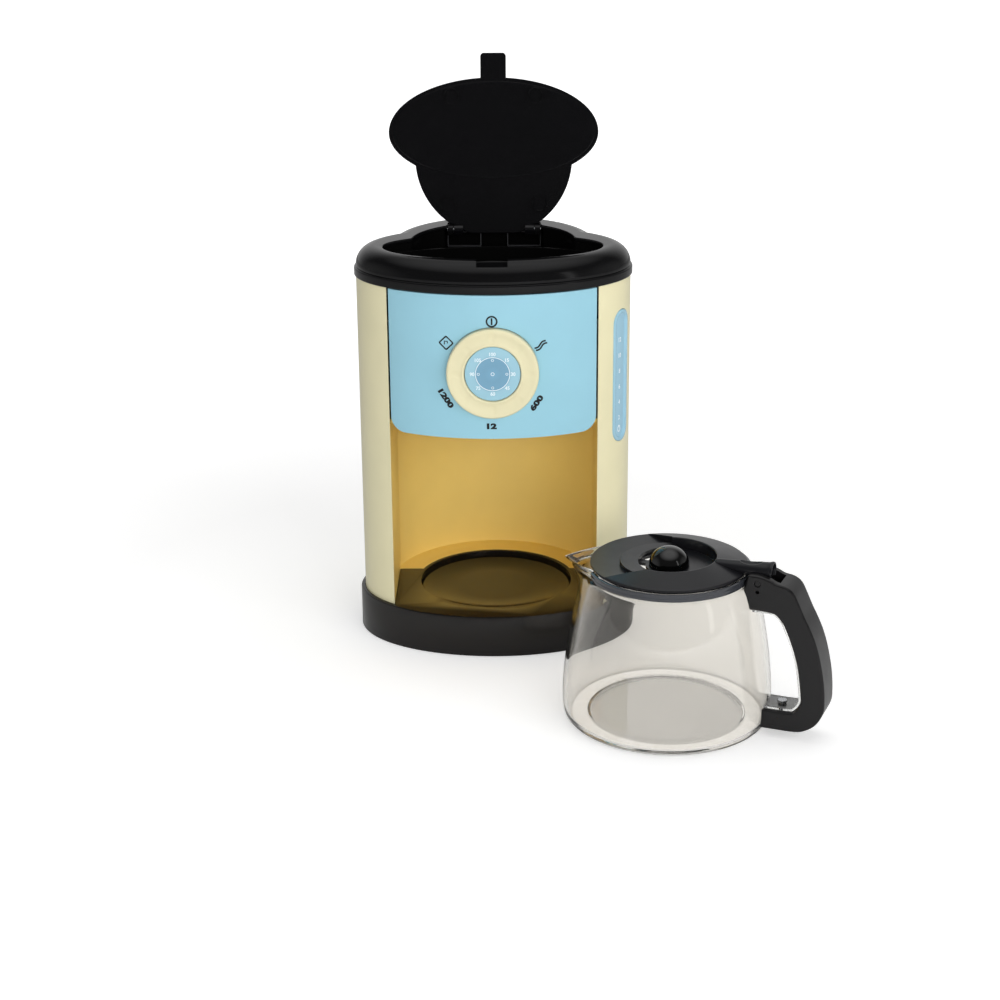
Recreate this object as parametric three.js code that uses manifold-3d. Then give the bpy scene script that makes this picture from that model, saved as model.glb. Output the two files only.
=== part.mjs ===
import * as THREE from 'three';
import { mergeVertices } from 'three/addons/utils/BufferGeometryUtils.js';
import loadManifold from 'manifold-3d';

// A toy filter coffee maker with its jug. Millimetres, +Z up, the front faces -Y.
// The origin is the middle of the machine's underside, on the axis of its wide front ellipse.

const wasm = await loadManifold();
wasm.setup();

// Shared allowances
const gap = 0.3;
const overrun = 2;
const weldTolerance = 0.0005;

// Body plan: a wide ellipse in front and a narrower round lobe behind it
const body = { halfWidth: 76.4, halfDepth: 51.5, lobeRadius: 60, lobeY: 19, wall: 2, topZ: 209.7 };
const pillarWidth = 18.8;

// Bay that takes the jug, and the deck that closes it above
const bay = {
  halfWidth: body.halfWidth - pillarWidth, bow: 2.4, centreY: 7, wall: 1.6, topZ: 131.7, deckThickness: 2,
};

// Black base with the round well of the hot plate
const base = {
  height: 24.5, proud: 2.5, wall: 2.2, deck: 2.4, ledge: 2, plateRearY: 20,
  wellInset: 13.6, wellY: 5, wellDepth: 5.6, wellWall: 1.9, coverThickness: 2.6,
};
const hotPlate = { thickness: 1.5, lip: 0.5, lipWidth: 2.2, edge: 0.5 };

// Blue front panel and the dial on it
const panel = { reveal: 1, bottomZ: 129.2, topZ: 209.4, thickness: 2.4, cornerRadius: 8 };
const dial = {
  z: 166.6, radius: 25.1, faceRadius: 15.4, seatWall: 1.2, seatOut: 0.4, seatDepth: 3,
  depth: 5.8, rimRound: 0.9,
  dish: 0.6, webDepth: 2, faceDepth: 0.9, hubFlange: 1.2, stemRadius: 6, sleeveWall: 2.4,
  wheelRadius: 13.5, wheelDepth: 2.4, toothCount: 24, toothDepth: 1.1, bracketGap: 1.9,
};
const bracket = { halfLength: 24, halfHeight: 5, thickness: 2, postSpan: 20, postRadius: 3.4 };
const clickSpring = {
  halfLength: 13, thickness: 0.6, tip: 3, rise: 1.6, lift: 0.7, pegRadius: 2.2, pegSpan: 11,
};

// Level gauge let into the right-hand pillar
const gauge = {
  inset: 5.5, centreZ: 155.4, width: 15.6, height: 76, proud: 0.5, flange: 1.6, flangeThickness: 1,
};
const gaugeEndShare = 0.99;

// Black cap, the lid opening in it and the water tank below
const cap = { lip: 1, lipHeight: 6.4, height: 16.4, crownInset: 11, thickness: 2.1 };
const rim = {
  side: 15.6, front: 13.5, rear: 25.4, shoulder: 29.2, setback: 6.3, lobe: 14.2, lobeSetback: 11,
};
const opening = {
  halfWidth: body.halfWidth - rim.side, frontDepth: body.halfDepth - rim.front - rim.setback,
  rearDepth: body.halfDepth - rim.shoulder + rim.setback, centreY: -rim.setback,
  lobeRadius: body.lobeRadius - rim.lobe, lobeY: body.lobeY - rim.lobeSetback,
  rearY: body.lobeY + body.lobeRadius - rim.rear,
};
const notch = { halfWidth: 8.4, depth: 2.5, wall: 1.8, shelf: 2 };
const tank = {
  wall: 1.6, spread: 0.4, floorZ: 188, floor: 2, rearHalfWidth: 28.5, rearDepth: 18.6,
  dividerTopZ: 219.3, divider: 1.6,
};
const ribFrame = { innerX: 7.5, width: 19.5, height: 9, topZ: 221.5, border: 1.2, proud: 1.4 };

// Tank lid and its hinge, drawn shut and then swung open
const lid = {
  clearance: 0.7, thickness: 2.2, lens: 0.7, rearGap: 2.6, openAngle: 100,
  tabHalfWidth: 7.3, tabSetback: 0.5, tabRound: 2,
  padRadius: 4.7, padDepth: 0.9, padX: 24, padFrontInset: 11, padRearX: 28, padRearInset: 19.1,
};
const hinge = {
  inset: 4.6, drop: 3.4, lugInnerX: 20.3, lugWidth: 2.8, lugRadius: 3.2, earWidth: 3.2, pinRadius: 1.4,
  slotReach: 5.8,
};

// Brewing parts between the tank and the jug
const brew = { y: 5, tubeRadius: 5.4, tubeBore: 3.6, flangeRadius: 8.6, flangeThickness: 2 };
const basket = { clearance: 1.55, taper: 6.9, height: 21.5, wall: 1.4, floor: 1.6, rim: 1.2 };
const nozzle = {
  flangeRadius: 13, flangeThickness: 2, radius: 9.2, bottomZ: 119, seatZ: 123, guideRadius: 3.6,
  chamberRadius: 6.4, chamberTopZ: 134, collarRadius: 8.6, topZ: 142, tubeEndZ: 137,
};
const valve = {
  stemRadius: 3.2, tipZ: 115.5, tipRound: 1, headRadius: 5.6, headDepth: 3.2,
  springRadius: 5.1, springWire: 0.9,
};

// Jug, standing on the table in front and to the right of the machine.
// What stands at its neck is given by how far out it is and how high above or below the rim.
const jug = {
  x: 91.9, y: -125.85, turn: -21.7, radius: 55.2, height: 84.2, wall: 2, neckRadius: 41.3,
  spoutReach: 17, spoutHalfAngle: 33,
};
const band = { wall: 1.3, below: 3.3, above: 0.6, spoutHalfAngle: 38 };
const handle = { length: 46.1, above: 4.4, width: 19, bevel: 1.4, slotHalfWidth: 5.7, slotBelow: 8.7 };
const slotEndShare = 0.427;
const liner = { thickness: 1.2, halfWidth: 7.4 };
const jugPin = { out: 8.6, above: 0.1, radius: 1.4, halfLength: 9 };
const cheekHole = { out: 8.7, below: 4.3, radius: 1 };
const jugLid = {
  inset: 0.3, edgeAbove: 1, edgeTopAbove: 2.4, crestAbove: 6.2, wall: 1.6,
  skirtInset: 2.9, skirtWall: 1.6, skirtBelow: 4.6, recessInset: 16.9, recessFloorAbove: 0.2, stepAbove: 2.6,
  slotInner: 12.2, slotOuter: 16.5, slotRibHalfWidth: 2.2,
};
const arm = {
  startInset: 14.3, endOut: 13.1, startRadius: 3.2, endRadius: 4.9, axisAbove: 4.1,
  flare: 0.5, flareLength: 1.4, lugStartOut: 4.5, lugEndOut: 12.5, lugHalfWidth: 4.9, lugBelow: 2.2,
};
const knob = { radius: 10.5, height: 9.9 };

// Fasteners
const screw = { shankRadius: 1.3, headRadius: 3, headHeight: 1.2, length: 10 };
const smallScrew = { shankRadius: 1.1, headRadius: 2.4, headHeight: 1.1, length: 6 };
const boss = { radius: 4.2 };
const baseScrewPlaceShares = [[0.76, -0.27], [-0.76, -0.27], [0.5, 1.01], [-0.5, 1.01]];

// Curve resolution
const steps = { front: 26, rear: 3, lobe: 16, corner: 4, turned: 32, small: 12, bay: 20, jug: 40 };
const halvings = 40;

const degrees = Math.PI / 180;
const halfTurn = Math.PI;
const fullTurn = 2 * Math.PI;

// Solids

function outward(geometry) {
  const position = geometry.getAttribute('position');
  const index = geometry.getIndex().array;
  const a = new THREE.Vector3();
  const b = new THREE.Vector3();
  const c = new THREE.Vector3();
  let volume = 0;
  for (let i = 0; i < index.length; i += 3) {
    a.fromBufferAttribute(position, index[i]);
    b.fromBufferAttribute(position, index[i + 1]);
    c.fromBufferAttribute(position, index[i + 2]);
    volume += a.dot(b.cross(c));
  }
  if (volume < 0) {
    for (let i = 0; i < index.length; i += 3) {
      [index[i + 1], index[i + 2]] = [index[i + 2], index[i + 1]];
    }
  }
  return geometry;
}

function solid(geometry) {
  const bare = new THREE.BufferGeometry();
  bare.setAttribute('position', geometry.getAttribute('position').clone());
  if (geometry.getIndex()) {
    bare.setIndex(geometry.getIndex().clone());
  }
  const merged = mergeVertices(bare, weldTolerance);
  const kept = [];
  const index = merged.getIndex().array;
  for (let i = 0; i < index.length; i += 3) {
    const [a, b, c] = [index[i], index[i + 1], index[i + 2]];
    if (a !== b && b !== c && c !== a) {
      kept.push(a, b, c);
    }
  }
  merged.setIndex(kept);
  outward(merged);
  return new wasm.Manifold(new wasm.Mesh({
    numProp: 3,
    vertProperties: new Float32Array(merged.getAttribute('position').array),
    triVerts: new Uint32Array(merged.getIndex().array),
  }));
}

function pointList(points) {
  return points.map(([x, y]) => new THREE.Vector2(x, y));
}

// A straight prism over a plan outline
function prism(points, lowZ, highZ) {
  const shape = new THREE.Shape(points);
  const geometry = new THREE.ExtrudeGeometry(shape, { depth: highZ - lowZ, bevelEnabled: false });
  geometry.translate(0, 0, lowZ);
  return solid(geometry);
}

// A prism over an outline drawn in X and Z, running along Y
function prismAlongY(points, lowY, highY) {
  const shape = new THREE.Shape(points);
  const geometry = new THREE.ExtrudeGeometry(shape, { depth: highY - lowY, bevelEnabled: false });
  geometry.rotateX(halfTurn / 2);
  geometry.translate(0, highY, 0);
  return solid(geometry);
}

function block(lowX, highX, lowY, highY, lowZ, highZ) {
  const geometry = new THREE.BoxGeometry(highX - lowX, highY - lowY, highZ - lowZ);
  geometry.translate((lowX + highX) / 2, (lowY + highY) / 2, (lowZ + highZ) / 2);
  return solid(geometry);
}

// Turned pieces: the profile is a list of [radius, height] about the Z axis
function turned(profile, x, y, segments = steps.turned) {
  const geometry = new THREE.LatheGeometry(pointList(profile), segments);
  geometry.rotateX(halfTurn / 2);
  geometry.translate(x, y, 0);
  return solid(geometry);
}

// Turned about the dial's axis: heights are measured out of the front, along -Y
function turnedOnDial(profile, segments = steps.turned) {
  const geometry = new THREE.LatheGeometry(pointList(profile), segments);
  geometry.rotateX(halfTurn);
  geometry.translate(0, 0, dial.z);
  return solid(geometry);
}

function disc(radius, x, y, lowZ, highZ, segments = steps.turned) {
  return turned([[0, lowZ], [radius, lowZ], [radius, highZ], [0, highZ]], x, y, segments);
}

function rodAlongY(radius, x, z, lowY, highY, segments = steps.small) {
  const geometry = new THREE.CylinderGeometry(radius, radius, highY - lowY, segments);
  geometry.translate(x, (lowY + highY) / 2, z);
  return solid(geometry);
}

function rodAlongX(radius, y, z, lowX, highX, segments = steps.small) {
  const geometry = new THREE.CylinderGeometry(radius, radius, highX - lowX, segments);
  geometry.rotateZ(halfTurn / 2);
  geometry.translate((lowX + highX) / 2, y, z);
  return solid(geometry);
}

function union(pieces) {
  return pieces.reduce((whole, piece) => whole.add(piece));
}

function mirroredPair(make) {
  return make(1).add(make(-1));
}

function between(one, other) {
  return [Math.min(one, other), Math.max(one, other)];
}

// Outlines

// The ellipse and lobe outline that the body, cap, tank and lid share, counter-clockwise from the left
function lobedOutline(plan, inset) {
  const a = plan.halfWidth - inset;
  const front = plan.frontDepth - inset;
  const rear = plan.rearDepth - inset;
  const radius = plan.lobeRadius - inset;
  const onEllipse = (angle, depth) => [a * Math.cos(angle), plan.centreY + depth * Math.sin(angle)];
  let low = 0;
  let high = halfTurn / 2;
  for (let round = 0; round < halvings; round += 1) {
    const middle = (low + high) / 2;
    const [x, y] = onEllipse(middle, rear);
    if (Math.hypot(x, y - plan.lobeY) > radius) {
      low = middle;
    } else {
      high = middle;
    }
  }
  const [meetX, meetY] = onEllipse(low, rear);
  const lobeStart = Math.atan2(meetY - plan.lobeY, meetX);
  const points = [];
  for (let i = 0; i <= steps.front; i += 1) {
    points.push(onEllipse(halfTurn + (halfTurn * i) / steps.front, front));
  }
  for (let i = 1; i <= steps.rear; i += 1) {
    points.push(onEllipse((low * i) / steps.rear, rear));
  }
  for (let i = 1; i <= steps.lobe; i += 1) {
    const angle = lobeStart + ((halfTurn - 2 * lobeStart) * i) / steps.lobe;
    points.push([radius * Math.cos(angle), plan.lobeY + radius * Math.sin(angle)]);
  }
  for (let i = 1; i < steps.rear; i += 1) {
    points.push(onEllipse(halfTurn - low + (low * i) / steps.rear, rear));
  }
  const limit = plan.rearY === undefined ? Infinity : plan.rearY - inset;
  return pointList(points.map(([x, y]) => [x, Math.min(y, limit)]));
}

const bodyPlan = {
  halfWidth: body.halfWidth, frontDepth: body.halfDepth, rearDepth: body.halfDepth, centreY: 0,
  lobeRadius: body.lobeRadius, lobeY: body.lobeY,
};
const bodyOutline = (inset) => lobedOutline(bodyPlan, inset);
const openingOutline = (inset) => lobedOutline(opening, inset);

// A closed solid through a stack of [inset, z] rings of the body outline
function lofted(rings) {
  const loops = rings.map(([inset, z]) => bodyOutline(inset).map((point) => [point.x, point.y, z]));
  const count = loops[0].length;
  const vertices = loops.flat(2);
  const index = [];
  for (let ring = 0; ring + 1 < loops.length; ring += 1) {
    for (let i = 0; i < count; i += 1) {
      const next = (i + 1) % count;
      const [a, b] = [ring * count + i, ring * count + next];
      const [c, d] = [a + count, b + count];
      index.push(a, b, d, a, d, c);
    }
  }
  const closeEnd = (ring, flip) => {
    const contour = bodyOutline(rings[ring][0]);
    THREE.ShapeUtils.triangulateShape(contour, []).forEach(([a, b, c]) => {
      const start = ring * count;
      index.push(start + a, start + (flip ? c : b), start + (flip ? b : c));
    });
  };
  closeEnd(0, true);
  closeEnd(loops.length - 1, false);
  const geometry = new THREE.BufferGeometry();
  geometry.setAttribute('position', new THREE.Float32BufferAttribute(vertices, 3));
  geometry.setIndex(index);
  return solid(geometry);
}

// The bay's plan: flat sides joined by a round back
function bayOutline(grow, frontY) {
  const halfWidth = bay.halfWidth + grow;
  const radius = bay.halfWidth + bay.bow + grow;
  const start = Math.acos(halfWidth / radius);
  const points = [[-halfWidth, frontY], [halfWidth, frontY]];
  for (let i = 0; i <= steps.bay; i += 1) {
    const angle = start + ((halfTurn - 2 * start) * i) / steps.bay;
    points.push([radius * Math.cos(angle), bay.centreY + radius * Math.sin(angle)]);
  }
  return pointList(points);
}

function roundedRectangle(halfWidth, halfHeight, radius, centreX, centreY) {
  const corners = [[1, -1], [1, 1], [-1, 1], [-1, -1]];
  const points = [];
  corners.forEach(([sideX, sideY], corner) => {
    for (let i = 0; i <= steps.corner; i += 1) {
      const angle = (halfTurn / 2) * (corner - 1 + i / steps.corner);
      points.push([
        centreX + sideX * (halfWidth - radius) + radius * Math.cos(angle),
        centreY + sideY * (halfHeight - radius) + radius * Math.sin(angle),
      ]);
    }
  });
  return pointList(points);
}

// Materials

const finish = (color, roughness, metalness = 0) => (
  new THREE.MeshStandardMaterial({ color, roughness, metalness })
);
const cream = finish(0xe9e3c3, 0.35);
const blue = finish(0x9fd0de, 0.35);
const glossBlack = finish(0x17171a, 0.18);
const satinBlack = finish(0x262322, 0.45);
const clearPlastic = new THREE.MeshStandardMaterial({
  color: 0xdfe3e6, roughness: 0.06, transparent: true, opacity: 0.3,
});
const steel = finish(0xb9bcc0, 0.3, 1);
const springSteel = finish(0x9da0a4, 0.35, 1);

const coffeeMaker = new THREE.Group();

function addPiece(group, name, piece, material) {
  const { vertProperties, triVerts } = piece.getMesh();
  const geometry = new THREE.BufferGeometry();
  geometry.setAttribute('position', new THREE.Float32BufferAttribute(vertProperties, 3));
  geometry.setIndex(Array.from(triVerts));
  geometry.computeVertexNormals();
  const mesh = new THREE.Mesh(geometry, material);
  mesh.name = name;
  group.add(mesh);
  return mesh;
}

// Base

const deckZ = base.height - base.ledge;
const hollowTopZ = deckZ - base.deck;
const wellFloorZ = base.height - base.wellDepth;
const wellRadius = bay.halfWidth - base.wellInset;
const wellOuter = wellRadius + base.wellWall;
const farFront = -2 * body.halfDepth;
const farRear = body.lobeY + body.lobeRadius + overrun;
const baseScrews = baseScrewPlaceShares.map(([xShare, yShare]) => (
  { x: xShare * body.halfWidth, y: yShare * body.halfDepth }
));

function makeBaseTray() {
  const topZ = base.height + overrun;
  const plateRegion = prism(bayOutline(-gap, farFront), hollowTopZ, topZ)
    .subtract(block(-body.halfWidth, body.halfWidth, base.plateRearY, farRear, 0, topZ + overrun))
    .add(disc(wellOuter, 0, base.wellY, hollowTopZ, topZ));
  const seat = prism(bodyOutline(-gap), deckZ, topZ).subtract(plateRegion);
  const bosses = union(baseScrews.map(({ x, y }) => (
    disc(boss.radius, x, y, base.coverThickness + gap, hollowTopZ, steps.small)
  )));
  const hollow = prism(bodyOutline(base.wall - base.proud), -overrun, hollowTopZ)
    .subtract(disc(wellOuter, 0, base.wellY, wellFloorZ - base.deck, hollowTopZ + overrun))
    .subtract(bosses);
  const bores = union(baseScrews.map(({ x, y }) => (
    disc(screw.shankRadius + gap, x, y, 0, screw.length + overrun, steps.small)
  )));
  return prism(bodyOutline(-base.proud), 0, base.height)
    .subtract(seat)
    .subtract(hollow)
    .subtract(disc(wellRadius, 0, base.wellY, wellFloorZ, topZ))
    .subtract(bores);
}

function makeBaseCover() {
  const plate = prism(bodyOutline(base.wall - base.proud + gap), 0, base.coverThickness);
  const holes = union(baseScrews.map(({ x, y }) => (
    disc(screw.shankRadius + gap, x, y, -overrun, base.coverThickness + overrun, steps.small)
      .add(disc(screw.headRadius + gap, x, y, -overrun, screw.headHeight + gap, steps.small))
  )));
  return plate.subtract(holes);
}

function screwUpwards({ x, y }) {
  return disc(screw.headRadius, x, y, 0, screw.headHeight, steps.small)
    .add(disc(screw.shankRadius, x, y, 0, screw.length, steps.small));
}

function makeHotPlate() {
  const radius = wellRadius - hotPlate.edge;
  const lowZ = wellFloorZ + gap;
  const topZ = lowZ + hotPlate.thickness;
  return turned([
    [0, lowZ], [radius, lowZ], [radius, topZ], [radius - hotPlate.lipWidth / 3, topZ + hotPlate.lip],
    [radius - hotPlate.lipWidth * 2 / 3, topZ + hotPlate.lip], [radius - hotPlate.lipWidth, topZ], [0, topZ],
  ], 0, base.wellY);
}

addPiece(coffeeMaker, 'base_tray', makeBaseTray(), satinBlack);
addPiece(coffeeMaker, 'base_cover', makeBaseCover(), satinBlack);
baseScrews.forEach((place, i) => addPiece(coffeeMaker, `base_screw_${i + 1}`, screwUpwards(place), steel));
addPiece(coffeeMaker, 'hot_plate', makeHotPlate(), glossBlack);

// Shell and bay

const shellBottomZ = deckZ + gap;
const gaugeX = body.halfWidth - gauge.inset;
const gaugeY = -body.halfDepth * Math.sqrt(1 - (gaugeX / body.halfWidth) ** 2);
const gaugeTurn = Math.atan2(gaugeX / body.halfWidth ** 2, -gaugeY / body.halfDepth ** 2);

// A stadium-shaped bar that runs out of the pillar, square to its surface
function gaugeBar(grow, reach) {
  const halfWidth = gauge.width / 2 + grow;
  const halfHeight = gauge.height / 2 + grow;
  const outline = roundedRectangle(halfWidth, halfHeight, halfWidth * gaugeEndShare, 0, gauge.centreZ);
  const shape = new THREE.Shape(outline);
  const geometry = new THREE.ExtrudeGeometry(shape, { depth: 2 * reach, bevelEnabled: false });
  geometry.rotateX(halfTurn / 2);
  geometry.translate(0, reach, 0);
  geometry.rotateZ(gaugeTurn);
  geometry.translate(gaugeX, gaugeY, 0);
  return solid(geometry);
}

function makeBodyShell() {
  const front = block(-bay.halfWidth, bay.halfWidth, farFront, 0, 0, body.topZ + overrun);
  return prism(bodyOutline(0), shellBottomZ, body.topZ)
    .subtract(prism(bodyOutline(body.wall), 0, body.topZ + overrun))
    .subtract(front)
    .subtract(gaugeBar(gap, gauge.width));
}

function makeBayLiner() {
  const linerInset = body.wall + gap;
  const topZ = bay.topZ + overrun;
  const room = prism(bodyOutline(linerInset + bay.wall), 0, topZ)
    .add(block(-body.halfWidth, body.halfWidth, farFront, 0, 0, topZ))
    .intersect(prism(bayOutline(0, farFront), 0, topZ));
  const walls = prism(bayOutline(bay.wall, farFront), shellBottomZ, bay.topZ).subtract(room);
  const ledge = prism(bayOutline(gap, farFront), shellBottomZ, base.height)
    .subtract(block(-body.halfWidth, body.halfWidth, farFront, base.plateRearY + gap, 0, topZ))
    .subtract(disc(wellOuter + gap, 0, base.wellY, 0, topZ));
  return walls.add(ledge).intersect(prism(bodyOutline(linerInset), 0, topZ));
}

function makeBrewDeck() {
  const lowZ = bay.topZ + gap;
  return prism(bayOutline(bay.wall, farFront), lowZ, lowZ + bay.deckThickness)
    .intersect(prism(bodyOutline(panel.thickness + gap), 0, lowZ + bay.deckThickness + overrun))
    .subtract(disc(nozzle.radius + gap, 0, brew.y, 0, lowZ + bay.deckThickness + overrun));
}

addPiece(coffeeMaker, 'body_shell', makeBodyShell(), cream);
addPiece(coffeeMaker, 'bay_liner', makeBayLiner(), cream);
addPiece(coffeeMaker, 'brew_deck', makeBrewDeck(), cream);

function makeSightGauge() {
  const inside = prism(bodyOutline(body.wall + gap + gauge.flangeThickness), -overrun, body.topZ + overrun);
  const plate = prism(bodyOutline(-gauge.proud), 0, body.topZ).subtract(inside);
  const flange = prism(bodyOutline(body.wall + gap), 0, body.topZ).subtract(inside);
  return plate.intersect(gaugeBar(0, gauge.width / 2))
    .add(flange.intersect(gaugeBar(gauge.flange, gauge.width / 2)));
}

addPiece(coffeeMaker, 'sight_gauge', makeSightGauge(), blue);

// Front panel and dial

const seatFront = body.halfDepth + dial.seatOut;
const seatFloor = seatFront - dial.seatDepth;
const seatBack = seatFloor - panel.thickness;
const ringBack = seatFloor + gap;
const pocketRadius = dial.radius + gap;
const sleeveRadius = dial.stemRadius + 2 * gap + dial.sleeveWall;
const sleeveBore = dial.stemRadius + gap;
const wheelFront = seatBack - dial.webDepth / 2;
const wheelBack = wheelFront - dial.wheelDepth;
const bracketFront = wheelBack - dial.bracketGap;
const bracketBack = bracketFront - bracket.thickness;
const bracketScrewXs = [-bracket.postSpan, 0, bracket.postSpan];
const springTopZ = dial.z + dial.wheelRadius + clickSpring.rise + clickSpring.thickness;
const pegZ = springTopZ + clickSpring.pegRadius + gap;
const screwTipY = -bracketBack - smallScrew.length;

function makeFrontPanel() {
  const halfWidth = bay.halfWidth - panel.reveal;
  const window = prismAlongY(roundedRectangle(
    halfWidth, (panel.topZ - panel.bottomZ) / 2 + panel.cornerRadius / 2, panel.cornerRadius, 0,
    (panel.topZ + panel.bottomZ) / 2 + panel.cornerRadius / 2,
  ), farFront, 0);
  const skin = prism(bodyOutline(0), panel.bottomZ, panel.topZ)
    .subtract(prism(bodyOutline(panel.thickness), 0, panel.topZ + overrun))
    .intersect(window);
  const seat = rodAlongY(pocketRadius + dial.seatWall, 0, dial.z, -seatFront, -seatBack, steps.turned);
  const inner = prism(bodyOutline(body.wall), panel.bottomZ, panel.topZ);
  const posts = mirroredPair((side) => (
    rodAlongY(bracket.postRadius, side * bracket.postSpan, dial.z, -body.halfDepth, -bracketFront - gap)
  ));
  const pegs = mirroredPair((side) => (
    rodAlongY(clickSpring.pegRadius, side * clickSpring.pegSpan, pegZ, -body.halfDepth, -wheelBack)
  ));
  const pilots = mirroredPair((side) => (
    rodAlongY(smallScrew.shankRadius + gap, side * bracket.postSpan, dial.z, screwTipY - gap, 0)
  ));
  return skin.add(seat).add(posts.add(pegs).intersect(inner))
    .subtract(rodAlongY(pocketRadius, 0, dial.z, farFront, -seatFloor, steps.turned))
    .subtract(rodAlongY(sleeveRadius + gap, 0, dial.z, farFront, 0, steps.turned))
    .subtract(pilots);
}

function makeDialRing() {
  const front = ringBack + dial.depth;
  const face = dial.faceRadius;
  return turnedOnDial([
    [sleeveBore, wheelBack], [sleeveRadius, wheelBack], [sleeveRadius, ringBack],
    [dial.radius - dial.rimRound, ringBack], [dial.radius, ringBack + dial.rimRound],
    [dial.radius, front - dial.rimRound * 2], [dial.radius - dial.rimRound, front - dial.rimRound / 2],
    [dial.radius - dial.rimRound * 5 / 2, front],
    [(dial.radius + face) / 2 - dial.rimRound, front - dial.dish],
    [face + dial.rimRound, front], [face, front - dial.rimRound], [face, ringBack + dial.webDepth],
    [sleeveBore, ringBack + dial.webDepth], [sleeveBore, wheelBack],
  ]);
}

function makeDialHub() {
  const flangeBack = ringBack + dial.webDepth + gap;
  const flangeFront = flangeBack + dial.hubFlange;
  const radius = dial.faceRadius - gap;
  return turnedOnDial([
    [0, bracketFront + gap], [dial.stemRadius, bracketFront + gap], [dial.stemRadius, flangeBack],
    [radius, flangeBack], [radius, flangeFront], [0, flangeFront],
  ]).subtract(rodAlongY(smallScrew.shankRadius + gap, 0, dial.z, screwTipY - gap, 0));
}

function makeDialFace() {
  const back = ringBack + dial.webDepth + dial.hubFlange + 2 * gap;
  const front = back + dial.faceDepth;
  const radius = dial.faceRadius - gap;
  return turnedOnDial([[0, back], [radius, back], [radius, front - gap], [radius - gap, front], [0, front]]);
}

function makeClickWheel() {
  const points = [];
  const count = 2 * dial.toothCount;
  for (let i = 0; i < count; i += 1) {
    const angle = (fullTurn * (i + 1 / 2)) / count + halfTurn / 2;
    const radius = dial.wheelRadius - (i % 2 ? 0 : dial.toothDepth);
    points.push([radius * Math.cos(angle), dial.z + radius * Math.sin(angle)]);
  }
  return prismAlongY(pointList(points), -wheelFront, -wheelBack)
    .subtract(rodAlongY(sleeveRadius + gap, 0, dial.z, farFront, 0, steps.turned));
}

function makeClickSpring() {
  const tipZ = dial.z + dial.wheelRadius + gap;
  const { halfLength, tip, thickness, rise, lift } = clickSpring;
  const lower = [
    [-halfLength, tipZ + rise], [-tip, tipZ + lift], [0, tipZ], [tip, tipZ + lift],
    [halfLength, tipZ + rise],
  ];
  const upper = lower.map(([x, z]) => [x, z + thickness]).reverse();
  return prismAlongY(pointList([...lower, ...upper]), -wheelFront, -wheelBack);
}

function makeDialBracket() {
  const holes = bracketScrewXs.map((x) => (
    rodAlongY(smallScrew.shankRadius + gap, x, dial.z, -bracketFront - overrun, -bracketBack + overrun)
  ));
  return block(
    -bracket.halfLength, bracket.halfLength, -bracketFront, -bracketBack,
    dial.z - bracket.halfHeight, dial.z + bracket.halfHeight,
  ).subtract(union(holes));
}

function makeBracketScrew(x) {
  const seatY = -bracketBack + gap;
  return rodAlongY(smallScrew.headRadius, x, dial.z, seatY, seatY + smallScrew.headHeight)
    .add(rodAlongY(smallScrew.shankRadius, x, dial.z, screwTipY, seatY + smallScrew.headHeight / 2));
}

addPiece(coffeeMaker, 'front_panel', makeFrontPanel(), blue);
addPiece(coffeeMaker, 'dial_ring', makeDialRing(), cream);
addPiece(coffeeMaker, 'dial_hub', makeDialHub(), cream);
addPiece(coffeeMaker, 'dial_face', makeDialFace(), blue);
addPiece(coffeeMaker, 'click_wheel', makeClickWheel(), satinBlack);
addPiece(coffeeMaker, 'click_spring', makeClickSpring(), springSteel);
addPiece(coffeeMaker, 'dial_bracket', makeDialBracket(), satinBlack);
bracketScrewXs.forEach((x, i) => {
  addPiece(coffeeMaker, `bracket_screw_${i + 1}`, makeBracketScrew(x), steel);
});

// Cap, tank and lid

const capBottomZ = body.topZ + gap;
const capTopZ = capBottomZ + cap.height;
const capUnderZ = capTopZ - cap.thickness;
const hingeZ = capTopZ - hinge.drop;
const hingeY = opening.rearY - hinge.inset;
const notchRearY = opening.centreY - opening.frontDepth + notch.shelf;
const earInnerX = hinge.lugInnerX + hinge.lugWidth + gap;
const earOuterX = earInnerX + hinge.earWidth;
const earBottomZ = capUnderZ - hinge.lugRadius;

// The cap's rounded crown, as shares of its inset and of its height above the lip
const crownShares = [[0, 0.07], [0.09, 0.34], [0.24, 0.62], [0.45, 0.83], [0.71, 0.96], [1, 1]];
const crownInsideShares = [[0.09, 0.34], [0.45, 0.83], [1, 1]];

function capRings(shrink, shares) {
  const crownHeight = cap.height - cap.lipHeight - shrink;
  const lipZ = capBottomZ + cap.lipHeight;
  const crown = shares.map(([insetShare, heightShare]) => (
    [shrink + insetShare * (cap.crownInset - shrink), lipZ + heightShare * crownHeight]
  ));
  return [[shrink - cap.lip, capBottomZ - shrink], [shrink - cap.lip, lipZ], ...crown];
}

// The floor and side walls under the notch for the lid's tab
function notchShelf(grow) {
  const halfWidth = notch.halfWidth + notch.wall + grow;
  const lowZ = capTopZ - notch.depth - notch.wall - grow;
  return block(-halfWidth, halfWidth, -body.halfDepth, notchRearY + grow, lowZ, capUnderZ + gap);
}

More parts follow.
